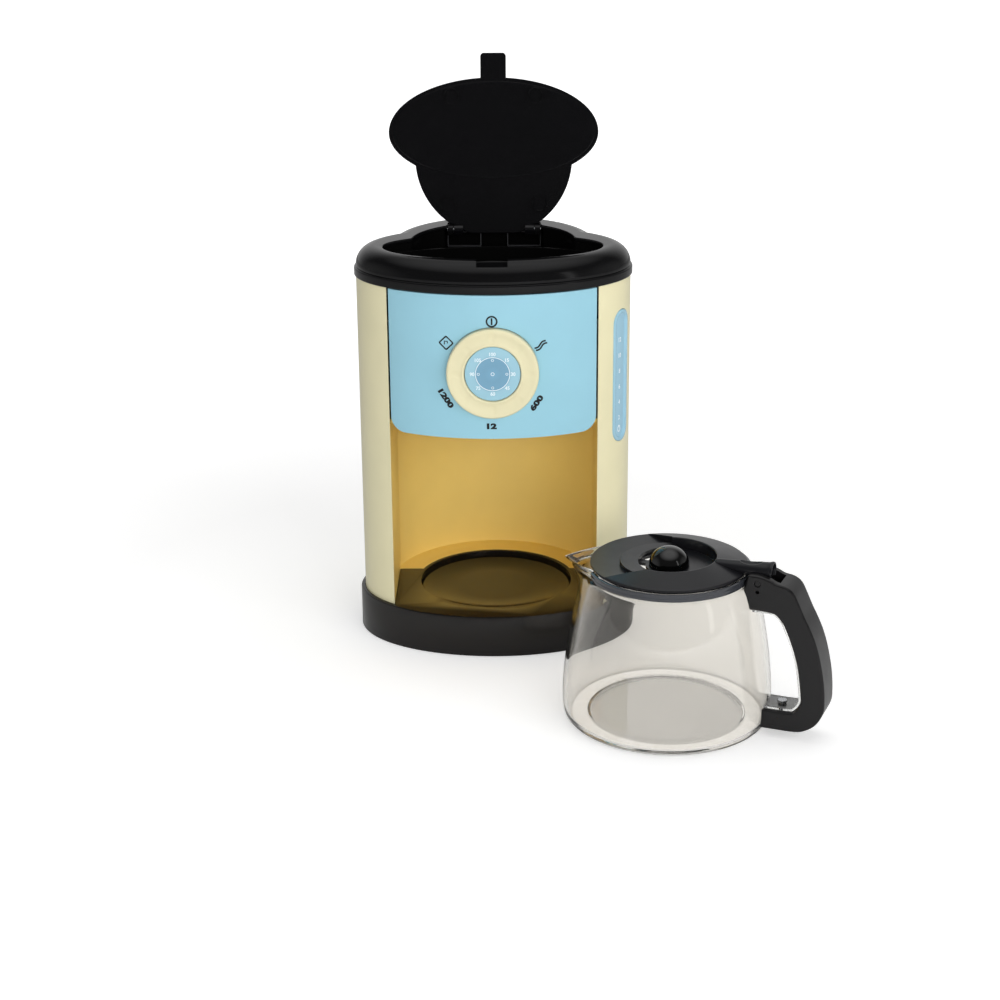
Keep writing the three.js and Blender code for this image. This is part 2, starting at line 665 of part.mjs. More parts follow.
function makeTopCap() {
  const dome = lofted(capRings(0, crownShares)).subtract(lofted(capRings(cap.thickness, crownInsideShares)));
  const floorZ = capTopZ - notch.depth;
  const shelf = notchShelf(0);
  const ears = mirroredPair((side) => {
    const [lowX, highX] = between(side * earInnerX, side * earOuterX);
    return rodAlongX(hinge.lugRadius, hingeY, hingeZ, lowX, highX)
      .add(block(lowX, highX, hingeY - hinge.lugRadius / 2, opening.rearY + overrun, earBottomZ, hingeZ))
      .add(block(lowX, highX, opening.rearY + gap, opening.rearY + overrun, earBottomZ, capTopZ - gap));
  });
  const pins = mirroredPair((side) => {
    const [lowX, highX] = between(side * hinge.lugInnerX, side * (earOuterX + overrun));
    return rodAlongX(hinge.pinRadius + gap, hingeY, hingeZ, lowX, highX);
  });
  return dome.subtract(prism(openingOutline(0), capBottomZ, capTopZ + overrun))
    .add(shelf.intersect(lofted(capRings(gap, crownShares))))
    .subtract(prism(openingOutline(0), floorZ, capTopZ + overrun))
    .subtract(block(-notch.halfWidth, notch.halfWidth, farFront, notchRearY, floorZ, capTopZ + overrun))
    .subtract(block(-earOuterX - gap, earOuterX + gap, 0, opening.rearY, capBottomZ, capTopZ + overrun))
    .add(ears)
    .subtract(pins);
}

function makeWaterTank() {
  const topZ = capUnderZ - gap;
  const outer = -tank.spread - tank.wall;
  const rearInner = opening.rearY + tank.spread;
  const rearBox = (grow, lowZ, highZ) => {
    const halfWidth = tank.rearHalfWidth + grow;
    return block(-halfWidth, halfWidth, opening.rearY - tank.rearDepth, rearInner + grow, lowZ, highZ);
  };
  const hull = prism(openingOutline(outer), tank.floorZ, topZ).add(rearBox(tank.wall, tank.floorZ, topZ));
  const floorTopZ = tank.floorZ + tank.floor;
  const inside = prism(openingOutline(-tank.spread), floorTopZ, topZ + overrun)
    .add(rearBox(0, floorTopZ, topZ + overrun));
  const lens = (grow) => prism(lensOutline(grow), tank.floorZ, tank.dividerTopZ);
  const dividerFrontY = opening.centreY + opening.rearDepth / 4;
  const divider = lens(tank.divider / 2).subtract(lens(-tank.divider / 2))
    .intersect(block(-body.halfWidth, body.halfWidth, dividerFrontY, body.lobeRadius, tank.floorZ, topZ))
    .intersect(hull);
  const earRoom = mirroredPair((side) => {
    const [lowX, highX] = between(side * (earInnerX - gap), side * (earOuterX + gap));
    return block(lowX, highX, hingeY - hinge.lugRadius - gap, farRear, earBottomZ - gap, topZ + overrun);
  });
  const frames = mirroredPair((side) => {
    const [lowX, highX] = between(side * ribFrame.innerX, side * (ribFrame.innerX + ribFrame.width));
    const lowZ = ribFrame.topZ - ribFrame.height;
    const recess = block(
      lowX + ribFrame.border, highX - ribFrame.border, rearInner - ribFrame.proud - overrun, rearInner,
      lowZ + ribFrame.border, ribFrame.topZ - ribFrame.border,
    );
    return block(lowX, highX, rearInner - ribFrame.proud, rearInner + tank.wall / 2, lowZ, ribFrame.topZ)
      .subtract(recess);
  });
  return hull.subtract(inside).add(divider).add(frames).subtract(earRoom).subtract(notchShelf(gap))
    .subtract(disc(brew.tubeRadius + gap, 0, brew.y, 0, floorTopZ + overrun, steps.small));
}

// The lid opening's wide ellipse without its lobe, which the tank's divider and the lid's step follow
function lensOutline(grow) {
  const points = [];
  const count = 2 * steps.front;
  for (let i = 0; i < count; i += 1) {
    const angle = (fullTurn * i) / count;
    const depth = (Math.sin(angle) < 0 ? opening.frontDepth : opening.rearDepth) + grow;
    points.push([(opening.halfWidth + grow) * Math.cos(angle), opening.centreY + depth * Math.sin(angle)]);
  }
  return pointList(points);
}

function makeHingePin(side) {
  const [lowX, highX] = between(side * (hinge.lugInnerX - gap), side * (earOuterX + gap));
  return rodAlongX(hinge.pinRadius, hingeY, hingeZ, lowX, highX);
}

function makeTankLid() {
  const highZ = capTopZ;
  const lowZ = highZ - lid.thickness;
  const plan = { ...opening, rearY: opening.rearY - lid.rearGap + lid.clearance };
  const plate = prism(lobedOutline(plan, lid.clearance), lowZ, highZ);
  const lens = prism(lensOutline(-lid.clearance - lid.thickness), lowZ - lid.lens, lowZ + gap);
  const tabFrontY = lid.tabSetback - body.halfDepth;
  const tabHalfLength = (opening.centreY - tabFrontY) / 2;
  const tabY = (opening.centreY + tabFrontY) / 2;
  const tab = prism(roundedRectangle(lid.tabHalfWidth, tabHalfLength, lid.tabRound, 0, tabY), lowZ, highZ);
  const padFrontY = opening.centreY - opening.frontDepth + lid.padFrontInset;
  const padRearY = opening.rearY - lid.padRearInset;
  const padRoot = lowZ + gap;
  const padEnd = lowZ - lid.padDepth;
  const pads = mirroredPair((side) => (
    disc(lid.padRadius, side * lid.padX, padFrontY, padEnd - lid.lens, padRoot, steps.small)
      .add(disc(lid.padRadius, side * lid.padRearX, padRearY, padEnd, padRoot, steps.small))
  ));
  const sideX = earInnerX - gap;
  const slots = mirroredPair((side) => {
    const [lowX, highX] = between(side * sideX, side * body.halfWidth);
    return block(lowX, highX, hingeY - hinge.slotReach, farRear, lowZ - overrun, highZ + overrun);
  });
  const lugs = mirroredPair((side) => {
    const [lowX, highX] = between(side * hinge.lugInnerX, side * (hinge.lugInnerX + hinge.lugWidth));
    return rodAlongX(hinge.lugRadius, hingeY, hingeZ, lowX, highX);
  });
  const bores = mirroredPair((side) => {
    const [lowX, highX] = between(side * (hinge.lugInnerX - overrun), side * (earInnerX + overrun));
    return rodAlongX(hinge.pinRadius + gap, hingeY, hingeZ, lowX, highX);
  });
  return plate.add(lens).add(tab).add(pads).subtract(slots).add(lugs).subtract(bores);
}

addPiece(coffeeMaker, 'top_cap', makeTopCap(), glossBlack);
addPiece(coffeeMaker, 'water_tank', makeWaterTank(), glossBlack);
addPiece(coffeeMaker, 'lid_hinge_pin_left', makeHingePin(-1), steel);
addPiece(coffeeMaker, 'lid_hinge_pin_right', makeHingePin(1), steel);

const lidPivot = new THREE.Group();
lidPivot.position.set(0, hingeY, hingeZ);
lidPivot.rotation.x = -lid.openAngle * degrees;
coffeeMaker.add(lidPivot);
const tankLid = addPiece(lidPivot, 'tank_lid', makeTankLid(), glossBlack);
tankLid.position.set(0, -hingeY, -hingeZ);

// Basket, tube, nozzle and drip valve

function makeFilterBasket() {
  const floorZ = tank.floorZ + tank.floor + gap;
  const topZ = floorZ + basket.height;
  const { wall, floor } = basket;
  const rimRadius = (opening.frontDepth + opening.rearDepth) / 2 - basket.clearance;
  const topRadius = rimRadius - basket.rim;
  const bottomRadius = topRadius - basket.taper;
  const rimZ = topZ - basket.rim;
  const centreY = opening.centreY + (opening.rearDepth - opening.frontDepth) / 2;
  return turned([
    [0, floorZ], [bottomRadius, floorZ], [topRadius, rimZ], [rimRadius, rimZ], [rimRadius, topZ],
    [topRadius - wall, topZ], [bottomRadius - wall, floorZ + floor], [0, floorZ + floor],
  ], 0, centreY).subtract(disc(brew.tubeRadius + gap, 0, brew.y, 0, floorZ + overrun, steps.small));
}

function makeDripTube() {
  const topZ = tank.floorZ + tank.floor;
  const flangeTopZ = tank.floorZ - gap;
  const flangeLowZ = flangeTopZ - brew.flangeThickness;
  return turned([
    [brew.tubeBore, nozzle.tubeEndZ], [brew.tubeRadius, nozzle.tubeEndZ], [brew.tubeRadius, flangeLowZ],
    [brew.flangeRadius, flangeLowZ], [brew.flangeRadius, flangeTopZ], [brew.tubeRadius, flangeTopZ],
    [brew.tubeRadius, topZ], [brew.tubeBore, topZ], [brew.tubeBore, nozzle.tubeEndZ],
  ], 0, brew.y, steps.small);
}

function makeDripNozzle() {
  const flangeZ = bay.topZ + bay.deckThickness + 2 * gap;
  const flangeTopZ = flangeZ + nozzle.flangeThickness;
  const socket = brew.tubeRadius + gap;
  return turned([
    [nozzle.guideRadius, nozzle.bottomZ], [nozzle.radius, nozzle.bottomZ], [nozzle.radius, flangeZ],
    [nozzle.flangeRadius, flangeZ], [nozzle.flangeRadius, flangeTopZ], [nozzle.collarRadius, flangeTopZ],
    [nozzle.collarRadius, nozzle.topZ], [socket, nozzle.topZ], [socket, nozzle.chamberTopZ + gap],
    [nozzle.chamberRadius, nozzle.chamberTopZ], [nozzle.chamberRadius, nozzle.seatZ],
    [nozzle.guideRadius, nozzle.seatZ], [nozzle.guideRadius, nozzle.bottomZ],
  ], 0, brew.y, steps.small);
}

const valveHeadZ = nozzle.seatZ + gap;
const valveTopZ = valveHeadZ + valve.headDepth;

function makeDripValve() {
  return turned([
    [0, valve.tipZ], [valve.stemRadius - valve.tipRound, valve.tipZ],
    [valve.stemRadius, valve.tipZ + valve.tipRound], [valve.stemRadius, valveHeadZ],
    [valve.headRadius, valveHeadZ], [valve.headRadius, valveTopZ], [0, valveTopZ],
  ], 0, brew.y, steps.small);
}

function makeValveSpring() {
  const bore = valve.springRadius - valve.springWire;
  const lowZ = valveTopZ + gap;
  const highZ = nozzle.tubeEndZ - gap;
  return turned([
    [bore, lowZ], [valve.springRadius, lowZ], [valve.springRadius, highZ], [bore, highZ], [bore, lowZ],
  ], 0, brew.y, steps.small);
}

addPiece(coffeeMaker, 'filter_basket', makeFilterBasket(), satinBlack);
addPiece(coffeeMaker, 'drip_tube', makeDripTube(), satinBlack);
addPiece(coffeeMaker, 'drip_nozzle', makeDripNozzle(), satinBlack);
addPiece(coffeeMaker, 'drip_valve', makeDripValve(), satinBlack);
addPiece(coffeeMaker, 'valve_spring', makeValveSpring(), springSteel);

// Jug

// The jug's outside, from the foot to the neck, as shares of its radius and its height
const jugRadiusShares = [0.918, 0.958, 0.987, 1, 0.995, 0.969, 0.926, 0.875, 0.807];
const jugHeightShares = [0, 0.014, 0.047, 0.13, 0.261, 0.43, 0.61, 0.772, 0.93];
const footInnerShare = 0.754;
const underRecessShare = 0.014;
const floorShare = 0.036;
const spoutStartShare = 0.8;
const spoutDroopShare = 0.035;
const neckStartShare = 0.957;
const spoutSwellPower = 1.6;
const spoutBeakPower = 1.35;
const bandBottomZ = jug.height - band.below;
const bandTopZ = jug.height + band.above;
const slotFloorZ = jug.height - handle.slotBelow;
const jugPinX = jug.neckRadius + jugPin.out;
const jugPinZ = jug.height + jugPin.above;

// How far the spout swells the wall at a height, from nothing at its root to all at the rim
function spoutSwell(z) {
  const share = THREE.MathUtils.clamp((z / jug.height - spoutStartShare) / (1 - spoutStartShare), 0, 1);
  return share ** spoutSwellPower;
}

// Rings of [radius, z] swept round the jug's axis, with the spout drawn out towards -X
function jugSurface(profile, segments) {
  const vertices = [];
  const index = [];
  profile.forEach(([radius, z]) => {
    for (let i = 0; i < segments; i += 1) {
      const angle = (fullTurn * i) / segments;
      const away = Math.abs(angle - halfTurn) / (jug.spoutHalfAngle * degrees);
      const beak = radius > 0 && away < 1 ? (1 - away) ** spoutBeakPower : 0;
      const reach = radius + jug.spoutReach * beak * spoutSwell(z);
      const drop = spoutDroopShare * jug.height * beak * spoutSwell(z);
      vertices.push(reach * Math.cos(angle), reach * Math.sin(angle), z - drop);
    }
  });
  for (let ring = 0; ring + 1 < profile.length; ring += 1) {
    for (let i = 0; i < segments; i += 1) {
      const next = (i + 1) % segments;
      const [a, b] = [ring * segments + i, ring * segments + next];
      index.push(a, b, b + segments, a, b + segments, a + segments);
    }
  }
  const geometry = new THREE.BufferGeometry();
  geometry.setAttribute('position', new THREE.Float32BufferAttribute(vertices, 3));
  geometry.setIndex(index);
  return solid(geometry);
}

function jugProfile(grow) {
  const wallPoints = jugRadiusShares.map((share, i) => (
    [share * jug.radius + grow, jugHeightShares[i] * jug.height]
  ));
  const neckZ = neckStartShare * jug.height;
  return [...wallPoints, [jug.neckRadius + grow, neckZ], [jug.neckRadius + grow, jug.height]];
}

function makeJugBody() {
  const recessZ = underRecessShare * jug.height;
  const footInner = footInnerShare * jug.radius;
  const floorZ = floorShare * jug.height;
  const outside = jugProfile(0);
  const inside = jugProfile(-jug.wall).filter(([, z]) => z > floorZ + jug.wall / 2).reverse();
  const [cornerRadius] = inside[inside.length - 1];
  const profile = [
    [0, recessZ], [footInner - recessZ, recessZ], [footInner, 0], ...outside, ...inside,
    [cornerRadius - jug.wall, floorZ], [0, floorZ],
  ];
  return jugSurface(profile, steps.jug);
}

// A solid that fills the jug's outside and a little more, to cut what stands against it
function jugFiller(grow) {
  const topZ = jug.height + grow;
  return turned([[0, 0], ...jugProfile(grow), [jug.neckRadius + grow, topZ], [0, topZ]], 0, 0);
}

// A wedge that opens from the axis to either side of the spout
function spoutWedge(halfAngle, lowZ, highZ) {
  const reach = 2 * jug.radius;
  const points = [[0, 0]];
  for (let i = 0; i <= steps.corner; i += 1) {
    const angle = halfTurn + halfAngle * degrees * ((2 * i) / steps.corner - 1);
    points.push([reach * Math.cos(angle), reach * Math.sin(angle)]);
  }
  return prism(pointList(points), lowZ, highZ);
}

const bandInner = jug.neckRadius + gap;
const bandOuter = bandInner + band.wall;

function makeNeckBand() {
  return turned([
    [bandInner, bandBottomZ], [bandOuter, bandBottomZ], [bandOuter, bandTopZ], [bandInner, bandTopZ],
    [bandInner, bandBottomZ],
  ], 0, 0, steps.jug).subtract(spoutWedge(band.spoutHalfAngle, bandBottomZ - overrun, bandTopZ + overrun))
    .subtract(jugFiller(gap).intersect(disc(jug.radius, 0, 0, 0, bandBottomZ + gap)));
}

// The handle's outside and inside edges, as shares of its length out of the neck and of its height
const handleOuterShares = [
  [0.075, 0.999], [0.211, 0.999], [0.325, 0.984], [0.401, 0.966], [0.515, 0.954], [0.596, 0.925],
  [0.653, 0.872], [0.727, 0.79], [0.801, 0.716], [0.867, 0.638], [0.93, 0.53], [0.981, 0.395], [1, 0.27],
  [0.989, 0.2], [0.911, 0.121], [0.795, 0.075], [0.674, 0.056], [0.431, 0.053], [0.147, 0.052],
];
const handleInnerShares = [
  [0.147, 0.172], [0.575, 0.173], [0.664, 0.19], [0.723, 0.237], [0.725, 0.29], [0.693, 0.417],
  [0.655, 0.512], [0.589, 0.614], [0.505, 0.713], [0.422, 0.767], [0.323, 0.784], [-0.024, 0.784],
];
const handleScrewShare = 0.469;
const handleScrewX = jug.neckRadius + handleScrewShare * handle.length;
const handleTopZ = jug.height + handle.above;

function handlePoint([lengthShare, heightShare]) {
  return [jug.neckRadius + lengthShare * handle.length, heightShare * handleTopZ];
}

function makeJugHandle() {
  const edge = [...handleOuterShares, ...handleInnerShares].map(handlePoint);
  const shape = new THREE.Shape(pointList(edge));
  const geometry = new THREE.ExtrudeGeometry(shape, {
    depth: handle.width - 2 * handle.bevel, bevelEnabled: true, bevelThickness: handle.bevel,
    bevelSize: handle.bevel, bevelOffset: -handle.bevel, bevelSegments: 2,
  });
  geometry.rotateX(halfTurn / 2);
  geometry.translate(0, handle.width / 2 - handle.bevel, 0);
  const slotEndX = jug.neckRadius + slotEndShare * handle.length;
  const slotTopZ = handleTopZ + overrun;
  const slot = block(0, slotEndX, -handle.slotHalfWidth, handle.slotHalfWidth, slotFloorZ, slotTopZ);
  const collar = disc(bandOuter + gap, 0, 0, slotFloorZ, slotTopZ, steps.jug);
  const cheekHoleX = jug.neckRadius + cheekHole.out;
  const cheekHoleZ = jug.height - cheekHole.below;
  const pilotLowZ = linerTopZ - 2 * smallScrew.length;
  return solid(geometry)
    .subtract(jugFiller(gap))
    .subtract(collar)
    .subtract(slot)
    .subtract(rodAlongY(jugPin.radius + gap, jugPinX, jugPinZ, -handle.width, handle.width))
    .subtract(rodAlongY(cheekHole.radius, cheekHoleX, cheekHoleZ, -handle.width, handle.width))
    .subtract(disc(smallScrew.shankRadius + gap, handleScrewX, 0, pilotLowZ, handleTopZ / 2, steps.small));
}

// A clear strip that lines the inside of the grip
const linerLowerZ = handleInnerShares[0][1] * handleTopZ;
const linerTopZ = linerLowerZ + gap + liner.thickness;

function offsetPath(points, distance) {
  return points.map(([x, z], i) => {
    const [beforeX, beforeZ] = points[Math.max(i - 1, 0)];
    const [afterX, afterZ] = points[Math.min(i + 1, points.length - 1)];
    const length = Math.hypot(afterX - beforeX, afterZ - beforeZ);
    return [x - (distance * (afterZ - beforeZ)) / length, z + (distance * (afterX - beforeX)) / length];
  });
}

function makeHandleLiner() {
  const path = handleInnerShares.map(handlePoint);
  const near = offsetPath(path, gap);
  const far = offsetPath(path, gap + liner.thickness).reverse();
  return prismAlongY(pointList([...near, ...far]), -liner.halfWidth, liner.halfWidth)
    .subtract(jugFiller(gap))
    .subtract(disc(smallScrew.shankRadius + gap, handleScrewX, 0, 0, handleTopZ / 2, steps.small));
}

function makeHandleScrew() {
  const headZ = linerTopZ + gap;
  return disc(smallScrew.headRadius, handleScrewX, 0, headZ, headZ + smallScrew.headHeight, steps.small)
    .add(disc(smallScrew.shankRadius, handleScrewX, 0, headZ - smallScrew.length, headZ + gap, steps.small));
}

// The lower step of the jug lid towards the spout, as shares of the lid's radius
const stepShares = [[-0.14, -0.62], [-0.55, -0.8], [-1.2, -1.1], [-1.2, 1.1], [-0.46, 0.78], [-0.15, 0.62]];

const lidRadius = jug.neckRadius - jugLid.inset;
const recessRadius = jug.neckRadius - jugLid.recessInset;
const lidEdgeZ = jug.height + jugLid.edgeAbove;
const lidCrestZ = jug.height + jugLid.crestAbove;
const recessFloorZ = jug.height + jugLid.recessFloorAbove;
const armAxisZ = jug.height + arm.axisAbove;

function lidTop(shrink) {
  const lowZ = shrink > 0 ? 0 : lidEdgeZ;
  const crestZ = lidCrestZ - shrink;
  const edgeTopZ = jug.height + jugLid.edgeTopAbove - shrink;
  return turned([
    [0, lowZ], [lidRadius - shrink, lowZ], [lidRadius - shrink, edgeTopZ], [recessRadius, crestZ],
    [0, crestZ],
  ], 0, 0, steps.jug);
}

function makeJugLid() {
  const { wall } = jugLid;
  const skirtRadius = jug.neckRadius - jugLid.skirtInset;
  const hollowRadius = skirtRadius - jugLid.skirtWall;
  const skirtZ = jug.height - jugLid.skirtBelow;
  const stepZ = jug.height + jugLid.stepAbove;
  const stepOutline = pointList(stepShares.map(([x, y]) => [x * lidRadius, y * lidRadius]));
  const hollow = lidTop(wall).intersect(disc(hollowRadius, 0, 0, 0, lidCrestZ, steps.jug));
  const step = prism(stepOutline, stepZ, lidCrestZ + overrun);
  const stepFloor = prism(stepOutline, stepZ - wall, stepZ)
    .intersect(disc(hollowRadius + gap, 0, 0, 0, lidCrestZ, steps.jug));
  const skirt = turned([
    [hollowRadius, skirtZ], [skirtRadius, skirtZ], [skirtRadius, lidEdgeZ + wall / 2],
    [hollowRadius, lidEdgeZ + wall / 2], [hollowRadius, skirtZ],
  ], 0, 0, steps.jug);
  const cup = disc(recessRadius + wall, 0, 0, recessFloorZ - wall, lidCrestZ, steps.jug)
    .intersect(lidTop(0).add(disc(hollowRadius, 0, 0, recessFloorZ - wall, lidEdgeZ, steps.jug)));
  const recess = disc(recessRadius, 0, 0, recessFloorZ, lidCrestZ + overrun, steps.jug);
  const { slotInner, slotOuter, slotRibHalfWidth } = jugLid;
  const slotTopZ = recessFloorZ + overrun;
  const drains = turned([
    [slotInner, 0], [slotOuter, 0], [slotOuter, slotTopZ], [slotInner, slotTopZ], [slotInner, 0],
  ], 0, 0)
    .subtract(block(-jug.radius, jug.radius, -slotRibHalfWidth, slotRibHalfWidth, -overrun, lidCrestZ))
    .subtract(block(0, jug.radius, -jug.radius, jug.radius, -overrun, lidCrestZ));
  return lidTop(0).subtract(hollow).add(skirt).subtract(step).add(stepFloor).add(cup.subtract(step))
    .subtract(recess)
    .subtract(drains)
    .add(makeLever())
    .subtract(rodAlongY(jugPin.radius + gap, jugPinX, jugPinZ, -handle.width, handle.width));
}

// The lever that opens the jug lid, with the lug that its pin goes through
function makeLever() {
  const startX = jug.neckRadius - arm.startInset;
  const endX = jug.neckRadius + arm.endOut;
  const cone = new THREE.CylinderGeometry(arm.endRadius, arm.startRadius, endX - startX, steps.small);
  cone.rotateZ(-halfTurn / 2);
  cone.translate((startX + endX) / 2, 0, armAxisZ);
  const room = block(
    recessRadius, 2 * jug.radius, -handle.width, handle.width, lidEdgeZ + gap, 2 * handleTopZ,
  );
  const lug = block(
    jug.neckRadius + arm.lugStartOut, jug.neckRadius + arm.lugEndOut, -arm.lugHalfWidth, arm.lugHalfWidth,
    jug.height - arm.lugBelow, armAxisZ,
  );
  return solid(cone)
    .add(rodAlongX(arm.endRadius + arm.flare, 0, armAxisZ, endX - overrun / 2, endX + arm.flareLength))
    .intersect(room)
    .add(lug);
}

function makeLidKnob() {
  const lowZ = recessFloorZ + gap;
  const points = [[0, lowZ]];
  const count = steps.small / 2;
  for (let i = 0; i <= count; i += 1) {
    const angle = (halfTurn / 2) * (i / count);
    points.push([knob.radius * Math.cos(angle), lowZ + knob.height * Math.sin(angle)]);
  }
  points[points.length - 1][0] = 0;
  return turned(points, 0, 0, steps.turned);
}

function makeJugPin() {
  return rodAlongY(jugPin.radius, jugPinX, jugPinZ, -jugPin.halfLength, jugPin.halfLength);
}

const jugGroup = new THREE.Group();
jugGroup.position.set(jug.x, jug.y, 0);
jugGroup.rotation.z = jug.turn * degrees;
coffeeMaker.add(jugGroup);

addPiece(jugGroup, 'jug_body', makeJugBody(), clearPlastic);
addPiece(jugGroup, 'neck_band', makeNeckBand(), glossBlack);
addPiece(jugGroup, 'jug_handle', makeJugHandle(), satinBlack);
addPiece(jugGroup, 'handle_liner', makeHandleLiner(), clearPlastic);
addPiece(jugGroup, 'handle_screw', makeHandleScrew(), steel);
addPiece(jugGroup, 'jug_hinge_pin', makeJugPin(), satinBlack);
addPiece(jugGroup, 'jug_lid', makeJugLid(), glossBlack);
addPiece(jugGroup, 'lid_knob', makeLidKnob(), glossBlack);

export default coffeeMaker;
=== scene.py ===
"""Looks of the toy filter coffee maker and its jug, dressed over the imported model.

Sizes in the classes are millimetres. Each mesh is scaled to metres once, when
its piece is placed.
"""

import logging
import math
from collections.abc import Callable, Sequence
from dataclasses import dataclass, field
from enum import Enum

import bmesh
import bpy
from mathutils import Matrix, Vector


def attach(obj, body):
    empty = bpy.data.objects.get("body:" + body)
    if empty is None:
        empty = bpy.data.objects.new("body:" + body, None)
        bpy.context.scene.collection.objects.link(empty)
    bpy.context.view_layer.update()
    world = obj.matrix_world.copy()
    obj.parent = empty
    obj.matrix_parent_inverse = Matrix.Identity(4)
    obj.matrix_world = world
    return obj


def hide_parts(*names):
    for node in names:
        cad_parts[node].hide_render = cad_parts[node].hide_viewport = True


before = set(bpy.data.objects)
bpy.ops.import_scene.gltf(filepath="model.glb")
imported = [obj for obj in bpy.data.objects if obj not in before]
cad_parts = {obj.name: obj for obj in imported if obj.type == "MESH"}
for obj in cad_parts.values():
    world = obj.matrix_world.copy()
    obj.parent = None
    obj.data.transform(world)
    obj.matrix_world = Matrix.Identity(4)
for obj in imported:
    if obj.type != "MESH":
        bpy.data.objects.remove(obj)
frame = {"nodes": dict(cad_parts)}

Point = tuple[float, float]
Colour = tuple[float, float, float, float]

LOG = logging.getLogger("coffee_maker")
MILLIMETRE = 0.001
GAP = 0.3
MERGE = 0.0005
EDGE_STEPS = 2
WIDE = 90.0
ABOVE = 240.0
NOISE_LOW, NOISE_HIGH = 0.25, 0.75
STOP_LOW, STOP_HIGH = 0.3, 0.7
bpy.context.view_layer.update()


class Slot(Enum):
    """The record's material slots."""

    CREAM = "cream"
    PANEL_BLUE = "panel_blue"
    GAUGE_BLUE = "gauge_blue"
    DIAL_BLUE = "dial_blue"
    GLOSS_BLACK = "gloss_black"
    BASE_BLACK = "base_black"
    HANDLE_BLACK = "handle_black"
    KNOB_BLACK = "knob_black"
    JUG_CLEAR = "jug_clear"
    STEEL = "steel"
    SPRING_STEEL = "spring_steel"


class Body(Enum):
    """The bodies that the pieces ride on."""

    MACHINE = "machine"
    DIAL = "dial"
    TANK_LID = "tank_lid"
    JUG = "jug"
    JUG_LID = "jug_lid"


class Cut(Enum):
    """How one shape works on another."""

    REMOVE = "DIFFERENCE"
    JOIN = "UNION"
    KEEP = "INTERSECT"


class Side(Enum):
    """The two sides of a mirrored pair."""

    LEFT = -1
    RIGHT = 1


def linear(code: str) -> Colour:
    """Turns a colour code into the linear values that a shader takes.

    Args:
        code: Six hexadecimal digits after a hash sign.

    Returns:
        Red, green, blue and an alpha of one.
    """
    shares = [int(code[i:i + 2], 16) / 255 for i in (1, 3, 5)]
    red, green, blue = (s / 12.92 if s <= 0.04045 else ((s + 0.055) / 1.055) ** 2.4 for s in shares)
    return red, green, blue, 1.0


def shaded(colour: Colour, share: float) -> Colour:
    """Returns the colour made lighter or darker by a share."""
    red, green, blue, alpha = colour
    return min(red * share, 1.0), min(green * share, 1.0), min(blue * share, 1.0), alpha


